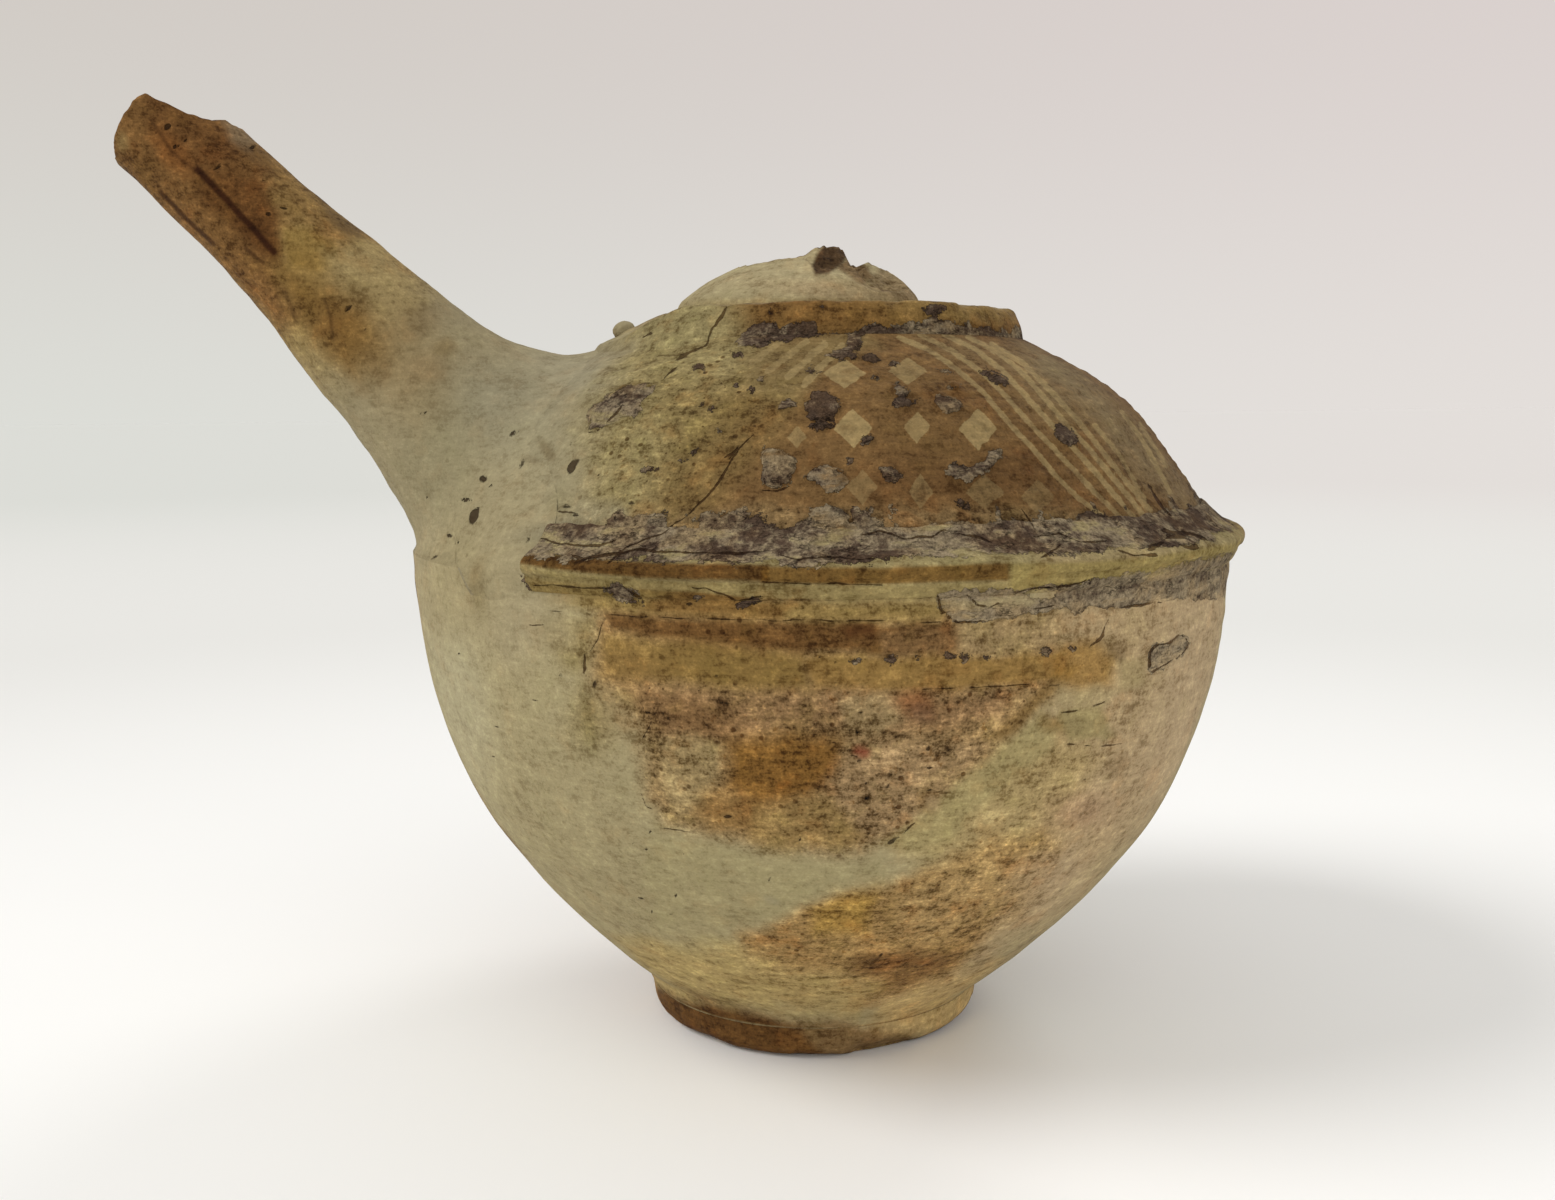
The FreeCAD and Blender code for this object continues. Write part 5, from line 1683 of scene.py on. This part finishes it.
class Signal:
    """One number or colour on its way through a material. Arithmetic on it adds Math nodes."""

    def __init__(self, bench, socket):
        self.bench = bench
        self.socket = socket

    def math(self, operation, first, second=None):
        values = {n: v for n, v in enumerate((first, second)) if v is not None}
        return self.bench.node("ShaderNodeMath", {"operation": operation}, values)

    def __add__(self, other):
        return self.math("ADD", self, other)

    def __radd__(self, other):
        return self.math("ADD", other, self)

    def __sub__(self, other):
        return self.math("SUBTRACT", self, other)

    def __rsub__(self, other):
        return self.math("SUBTRACT", other, self)

    def __mul__(self, other):
        return self.math("MULTIPLY", self, other)

    def __rmul__(self, other):
        return self.math("MULTIPLY", other, self)

    def above(self, other):
        return self.math("MAXIMUM", self, other)

    def below(self, other):
        return self.math("MINIMUM", self, other)

    def size(self):
        return self.math("ABSOLUTE", self)

    def ramp(self, low, high, start=0.0, end=1.0):
        """An even S from start at low to end at high."""
        sockets = {"Value": self, "From Min": low, "From Max": high, "To Min": start, "To Max": end}
        return self.bench.node("ShaderNodeMapRange", {"interpolation_type": "SMOOTHSTEP"}, sockets)


class Bench:
    """The nodes of one material, or of the world."""

    def __init__(self, tree):
        self.tree = tree
        self.tree.nodes.clear()

    def node(self, kind, settings=None, sockets=None, out=0):
        """Adds a node: its type, its settings first, then values or links for its sockets. Gives one of
        its outputs."""
        made = self.tree.nodes.new(kind)
        for name, value in (settings or {}).items():
            setattr(made, name, value)
        for key, value in (sockets or {}).items():
            socket = made.inputs[key]
            if isinstance(value, Signal):
                self.tree.links.new(value.socket, socket)
            else:
                socket.default_value = value
        return Signal(self, made.outputs[out]) if made.outputs else made

    def value(self, name):
        """A number stored on the mesh."""
        return self.node("ShaderNodeAttribute", {"attribute_name": name}, out="Fac")

    def colour(self, name):
        """A colour stored on the mesh."""
        return self.node("ShaderNodeAttribute", {"attribute_name": name}, out="Color")

    def places(self, stretch=(1.0, 1.0, 1.0), shift=0.0):
        """Places on the object, stretched and shifted."""
        place = self.node("ShaderNodeTexCoord", out="Object")
        sockets = {"Vector": place, "Scale": stretch, "Location": (shift, shift, shift)}
        return self.node("ShaderNodeMapping", {"vector_type": "POINT"}, sockets)

    def noise(self, size, detail=3.0, roughness=0.55, stretch=(1.0, 1.0, 1.0), shift=0.0):
        """Cloudy noise whose clouds are about that many millimetres, finer along the stretched
        directions."""
        sockets = {"Vector": self.places(stretch, shift), "Scale": 1.0 / (size * mm)}
        sockets.update({"Detail": detail, "Roughness": roughness})
        return self.node("ShaderNodeTexNoise", None, sockets)

    def cells(self, size, shift=0.0):
        """Distance from the middle of scattered cells of about that many millimetres, from 0."""
        sockets = {"Vector": self.places(shift=shift), "Scale": 1.0 / (size * mm)}
        return self.node("ShaderNodeTexVoronoi", None, sockets, out="Distance")

    def blend(self, share, first, second):
        """One colour turned into another by a share."""
        return self.node("ShaderNodeMix", {"data_type": "RGBA"}, {0: share, 6: first, 7: second}, out=2)

    def scaled(self, colour, factor):
        """A colour made lighter or darker."""
        return self.node("ShaderNodeVectorMath", {"operation": "SCALE"}, {0: colour, "Scale": factor})

    def tinted(self, share, colour, tint):
        """A colour turned by a share into itself multiplied by another."""
        turned_to = self.node("ShaderNodeVectorMath", {"operation": "MULTIPLY"}, {0: colour, 1: tint})
        return self.blend(share, colour, turned_to)

    def along(self, direction, axis):
        """How far a direction goes along an axis."""
        sockets = {0: direction, 1: tuple(map(float, axis))}
        return self.node("ShaderNodeVectorMath", {"operation": "DOT_PRODUCT"}, sockets, out="Value")

    def surface(self, sockets):
        """The Principled surface, led to the material's output."""
        shader = self.node("ShaderNodeBsdfPrincipled", None, sockets, out="BSDF")
        self.node("ShaderNodeOutputMaterial", None, {"Surface": shader})


def new_material(name):
    """A material with no nodes yet, and its bench."""
    material = bpy.data.materials.new(name)
    material.use_nodes = True
    return material, Bench(material.node_tree)


def rgba(colour):
    """A linear colour as a socket's value."""
    return tuple(float(c) for c in colour[:3]) + (1.0,)


crust_dark = card(82, 66, 53)
crust_pale = card(138, 123, 98)
bare_clay = card(147, 127, 86)
# Dark of dirt and painted shade inside pits and holes.
pit_dirt_and_shade = card(44, 30, 18)
# The darker colour of broken clay is painted shade, taken from the shaded facet of the neck's break; it
# colours every broken face.
fracture_shade_dark = card(62, 42, 24)
fracture_warm = card(112, 84, 54)
clay_shine = 0.06


def clay(name, roughness, gain):
    """Fired clay. Its stored tint is mottled by clouds of several sizes: burnt and warm where they are
    dark, powdery where they are pale. It is scuffed and specked; then come the bare marks, the crust
    with edges darkened by painted shade and its flaking lines, and the cracks and the pits, darkened by
    dirt and painted shade. Heights are in millimetres. gain makes the whole clay lighter or darker."""
    material, b = new_material(name)
    mottle, flecks = b.value("mottle"), b.value("flecks")
    broad = b.noise(15.0, 2.0, 0.5) - 0.5
    middle = b.noise(4.2, 3.0, 0.6, shift=0.31) - 0.5
    small = b.noise(1.25, 3.0, 0.65, shift=0.57) - 0.5
    grit = b.noise(0.42, 2.0, 0.6, shift=0.83) - 0.5
    hue = b.noise(6.5, 3.0, 0.6, shift=1.1)
    combed = b.noise(2.6, 3.0, 0.6, (0.22, 0.22, 1.7), 1.4) - 0.5
    wiped = b.noise(0.9, 3.0, 0.65, (0.35, 0.35, 1.3), 1.7) - 0.5
    cloud = 0.55 * broad + 1.15 * middle + 1.15 * small + 0.75 * grit + 0.60 * combed + 0.80 * wiped
    colour = b.scaled(b.colour("tint"), gain * (1.0 + 0.80 * mottle * cloud))
    burnt = cloud.ramp(-0.04, -0.42) * (0.72 * mottle).below(0.9)
    colour = b.tinted(burnt, colour, (0.66, 0.56, 0.42))
    powder = cloud.ramp(0.08, 0.45) * (0.62 * mottle).below(0.9)
    colour = b.tinted(powder, colour, (1.26, 1.30, 1.34))
    colour = b.tinted(hue.ramp(0.52, 0.72) * (0.50 * mottle).below(0.9), colour, (1.13, 0.96, 0.84))
    colour = b.tinted(hue.ramp(0.48, 0.30) * (0.40 * mottle).below(0.9), colour, (0.97, 1.01, 0.90))
    scuffs = b.noise(1.7, 4.0, 0.7, (0.6, 0.6, 1.3), 1.9).ramp(0.59, 0.72) * (0.42 * mottle).below(0.8)
    colour = b.tinted(scuffs, colour, (1.40, 1.38, 1.34))
    freckles = b.noise(2.4, 3.0, 0.75, shift=2.3).ramp(0.60, 0.70)
    colour = b.tinted(freckles * (0.45 * flecks).below(0.9), colour, (0.60, 0.50, 0.38))
    patch = b.noise(11.0, 2.0, 0.6, shift=3.7).ramp(0.40, 0.66)
    dots = b.cells(3.0, 2.7).ramp(0.20, 0.10) * patch
    tiny = b.cells(1.5, 3.1).ramp(0.17, 0.09) * (1.0 - 0.6 * patch)
    specks = ((dots + 0.6 * tiny) * (0.66 * flecks)).below(0.88)
    colour = b.tinted(specks, colour, (0.30, 0.22, 0.14))
    chips = b.cells(2.1, 3.4).ramp(0.14, 0.07) * (0.5 * flecks).below(0.7)
    colour = b.tinted(chips, colour, (1.5, 1.46, 1.36))
    bare_edge = b.value("bare") + 0.8 * small + 0.5 * middle
    bare_share = bare_edge.ramp(-0.10, 0.16) * b.value("bare_strength")
    bare_share = bare_share * middle.ramp(-0.24, 0.02, 0.45, 1.0)
    colour = b.blend(bare_share * 0.80, colour, b.scaled(rgba(bare_clay)[:3], gain * (1.1 + 0.7 * cloud)))
    layered = b.noise(5.0, 4.0, 0.62, (0.45, 0.45, 1.7), 4.7) - 0.5
    pale = (b.value("crust_pale") + 2.8 * layered + 1.8 * small).ramp(0.10, 1.05)
    crust_edge = b.value("crust") + 1.7 * middle + 2.2 * small + 0.9 * grit
    thin = 1.0 - pale.ramp(0.55, 1.0) * layered.ramp(0.02, 0.16) * 0.75
    crust = crust_edge.ramp(-0.05, 0.12) * thin
    # Painted shade: the crust is darkened all round its edge, where it stands up from the clay.
    rim = crust_edge.ramp(0.40, 0.03) * (1.0 - 0.55 * pale)
    flake = b.noise(4.6, 4.0, 0.6, (0.8, 0.8, 2.4), 4.1) - 0.5
    flake_line = flake.size().ramp(0.020, 0.003) * crust * middle.ramp(-0.08, 0.10)
    crust_colour = b.blend(pale, rgba(crust_dark), rgba(crust_pale))
    crust_colour = b.tinted(hue.ramp(0.44, 0.62) * 0.6, crust_colour, (1.06, 0.95, 0.78))
    crust_light = gain * (1.0 - 0.5 * rim) * (1.0 - 0.55 * flake_line)
    crust_light = crust_light * (0.98 + 1.4 * grit + 1.4 * small + 0.8 * layered)
    colour = b.blend(crust, colour, b.scaled(crust_colour, crust_light))
    crack_line = (b.value("crack_side").size() + 0.4 * small).above(b.value("crack_away") - 0.25)
    crack = (b.value("crack_half") - crack_line).ramp(-0.05, 0.12)
    # Dirt and painted shade: cracks are darkened down their length.
    colour = b.tinted(crack * 0.92, colour, (0.28, 0.21, 0.15))
    # Dirt and painted shade: pits and holes are filled with a dark colour.
    hole = (b.value("pit") + 0.55 * small + 0.25 * grit).ramp(-0.06, 0.16)
    colour = b.blend(hole * 0.88, colour, rgba(pit_dirt_and_shade))
    broken = b.value("broken")
    fracture = b.blend((small + 0.8 * middle).ramp(-0.10, 0.16), rgba(fracture_shade_dark), rgba(fracture_warm))
    colour = b.blend(broken.ramp(0.3, 0.7), colour, fracture)
    height = 0.38 * middle + 0.22 * small + 0.10 * grit + 0.14 * combed
    height = height * (0.6 + 0.4 * mottle + 1.2 * broken)
    height = height + crust * (0.34 + 0.80 * small + 0.50 * middle + 0.5 * layered)
    height = height - 0.22 * flake_line - 0.40 * crack - 0.55 * hole - 0.10 * specks - 0.03 * bare_share
    bump = b.node("ShaderNodeBump", None, {"Strength": 1.0, "Distance": mm, "Height": height}, out="Normal")
    rough = (roughness + 0.16 * middle + 0.10 * small + 0.15 * crust + 0.15 * hole).below(1.0)
    b.surface({"Base Color": colour, "Roughness": rough, "Normal": bump, "Specular IOR Level": clay_shine})
    return material


# The jar, put together

pieces = []


def add_piece(obj, node, look, colour, **marks):
    """Dresses a piece, and notes the CAD piece that it stands for and the clay that it is made of."""
    dress(obj, colour, **marks)
    pieces.append((obj, node, look))


add_piece(foot_pad(), "foot", "stained", foot_clay)

bowl, bowl_skin = bowl_shell()
add_piece(
    bowl, "lower_bowl", "buff", bowl_clay, crusts=bowl_crusts, crust_patches=bowl_crust_patches,
    cracks=bowl_cracks, pits=bowl_pits, bands=bowl_bands, extra=cream_gap, skin=bowl_skin,
)
dome, dome_skin = dome_shell()
add_piece(
    dome, "shoulder_dome", "painted", dome_clay, crusts=dome_crusts, crust_patches=dome_crust_patches,
    cracks=dome_cracks, pits=root_pits, painted=True, bands=dome_bands, skin=dome_skin,
)
flange, flange_skin = flange_ridge()
add_piece(
    flange, "shoulder_flange", "crusted", flange_clay, crusts=dome_crusts + bowl_crusts,
    crust_patches=bowl_crust_patches, cracks=dome_cracks + bowl_cracks, bands=flange_bands,
    extra=cream_gap, skin=flange_skin,
)
collar, collar_skin = collar_ring()
collar_crusts = ((935, 309, 13, 5, 4, 0.0), (820, 309, 4, 3, 0, 0.2), (770, 312, 3, 4, 0, 0.2))
add_piece(
    collar, "neck_collar", "painted", collar_clay, crusts=collar_crusts,
    crust_patches=dome_crust_patches, cracks=dome_cracks, bands=collar_bands, skin=collar_skin,
)
neck, neck_fracture = neck_wall()
add_piece(neck, "neck_stump", "broken", neck_clay, extra=neck_break)
spout_pieces()
add_piece(root_pellet(), "root_pellet", "luting", spout_clay)

looks = {
    "buff": (clay("buff_clay", 0.74, 1.04), "buff_clay"),
    "luting": (clay("luted_clay", 0.76, 0.95), "buff_clay"),
    "painted": (clay("painted_clay", 0.78, 0.85), "painted_clay"),
    "crusted": (clay("crusted_clay", 0.85, 0.90), "crusted_clay"),
    "broken": (clay("broken_clay", 0.86, 0.90), "broken_clay"),
    "stained": (clay("stained_clay", 0.72, 0.94), "stained_clay"),
}
for obj, node, look in pieces:
    material, slot = looks[look]
    obj.data.materials.append(material)
    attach(obj, "root")
    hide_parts(node)


# Floor, light and camera

def floor_material():
    """White paper with painted light: brightest just in front of the jar and a little greyer with distance
    from there, and pinker to the right as the paper behind it."""
    material, b = new_material("paper")
    place = b.places()
    front = tuple(-0.08 * float(c) for c in view_forward[:2]) + (0.0,)
    from_front = b.node("ShaderNodeVectorMath", {"operation": "SUBTRACT"}, {0: place, 1: front})
    away = b.node("ShaderNodeVectorMath", {"operation": "LENGTH"}, {0: from_front}, out="Value")
    toward = b.node("ShaderNodeVectorMath", {"operation": "NORMALIZE"}, {0: place})
    side = b.along(toward, view_right)
    far = b.blend(side.ramp(-0.5, 0.5), (0.622, 0.630, 0.600, 1.0), (0.668, 0.640, 0.622, 1.0))
    # Painted light: the floor fades from white near the jar to grey further off.
    near = b.blend(away.ramp(0.06, 0.75), (0.91, 0.905, 0.89, 1.0), (0.71, 0.705, 0.682, 1.0))
    colour = b.blend(away.ramp(0.70, 2.6), near, far)
    b.surface({"Base Color": colour, "Roughness": 1.0, "Specular IOR Level": 0.0})
    return material


def lay_floor():
    """A very wide flat floor just under the jar."""
    wide, drop = 40.0, -0.0001
    mesh = bpy.data.meshes.new("paper_floor")
    corners = [(-wide, -wide, drop), (wide, -wide, drop), (wide, wide, drop), (-wide, wide, drop)]
    mesh.from_pydata(corners, [], [(0, 1, 2, 3)])
    mesh.materials.append(floor_material())
    floor = bpy.data.objects.new("paper_floor", mesh)
    bpy.context.scene.collection.objects.link(floor)


def sun(name, across, up, towards, strength, softness):
    """A lamp far away: its direction in steps right, up and away from the camera, its strength and the
    angle that it fills."""
    data = bpy.data.lights.new(name, "SUN")
    data.energy = strength
    data.angle = math.radians(softness)
    lamp = bpy.data.objects.new(name, data)
    back = across * view_right + up * np.array((0.0, 0.0, 1.0)) + towards * view_forward * (1, 1, 0)
    back /= np.linalg.norm(back)
    side = np.cross((0.0, 0.0, 1.0), back)
    side /= np.linalg.norm(side)
    columns = np.stack([side, np.cross(back, side), back], 1)
    lamp.matrix_world = Matrix([(*map(float, row), 0.0) for row in columns] + [(0.0, 0.0, 0.0, 1.0)])
    bpy.context.scene.collection.objects.link(lamp)


def set_world():
    """An even white sky for light; what the camera sees of it is paper, greyer higher up with painted
    shade and pinker to the right."""
    world = bpy.data.worlds.new("studio")
    bpy.context.scene.world = world
    world.use_nodes = True
    b = Bench(world.node_tree)
    sky = b.node("ShaderNodeBackground", None, {"Color": (1.0, 0.985, 0.96, 1.0), "Strength": 0.60})
    way = b.node("ShaderNodeTexCoord", out="Generated")
    climb = b.along(way, (0.0, 0.0, 1.0)).ramp(-0.05, 0.28)
    side = b.along(way, view_right).ramp(-0.5, 0.5)
    # Painted shade: the backdrop is greyer higher up.
    low = b.blend(side, rgba(card(221, 222, 216)), rgba(card(228, 223, 219)))
    high = b.blend(side, rgba(card(209, 203, 197)), rgba(card(217, 208, 205)))
    paper = b.node("ShaderNodeBackground", None, {"Color": b.blend(climb, low, high)})
    camera_ray, glossy_ray, passing_ray = (
        b.node("ShaderNodeLightPath", out=f"Is {kind} Ray") for kind in ("Camera", "Glossy", "Transmission")
    )
    shown = camera_ray.above(glossy_ray).above(passing_ray)
    both = b.node("ShaderNodeMixShader", None, {0: shown, 1: sky, 2: paper})
    b.node("ShaderNodeOutputWorld", None, {"Surface": both})


def set_camera():
    """The picture's camera: its place, its three directions and its lens."""
    data = bpy.data.cameras.new("picture_camera")
    data.sensor_width = sensor_width
    data.lens = sensor_width * lens_pixels / picture_width
    data.clip_start = 0.01
    data.clip_end = 200.0
    camera = bpy.data.objects.new("picture_camera", data)
    columns = np.stack([view_right, view_up, -view_forward], 1)
    rows = [(*map(float, row), float(place) * mm) for row, place in zip(columns, eye)]
    camera.matrix_world = Matrix(rows + [(0.0, 0.0, 0.0, 1.0)])
    bpy.context.scene.collection.objects.link(camera)
    bpy.context.scene.camera = camera


lay_floor()
sun("window_light", -0.97, 0.85, -0.20, 1.60, 30.0)
sun("front_fill", 0.30, 0.35, -0.95, 0.90, 80.0)
sun("back_light", 0.65, 0.90, 0.80, 0.55, 22.0)
set_world()
set_camera()
bpy.context.scene.view_settings.view_transform = "Standard"
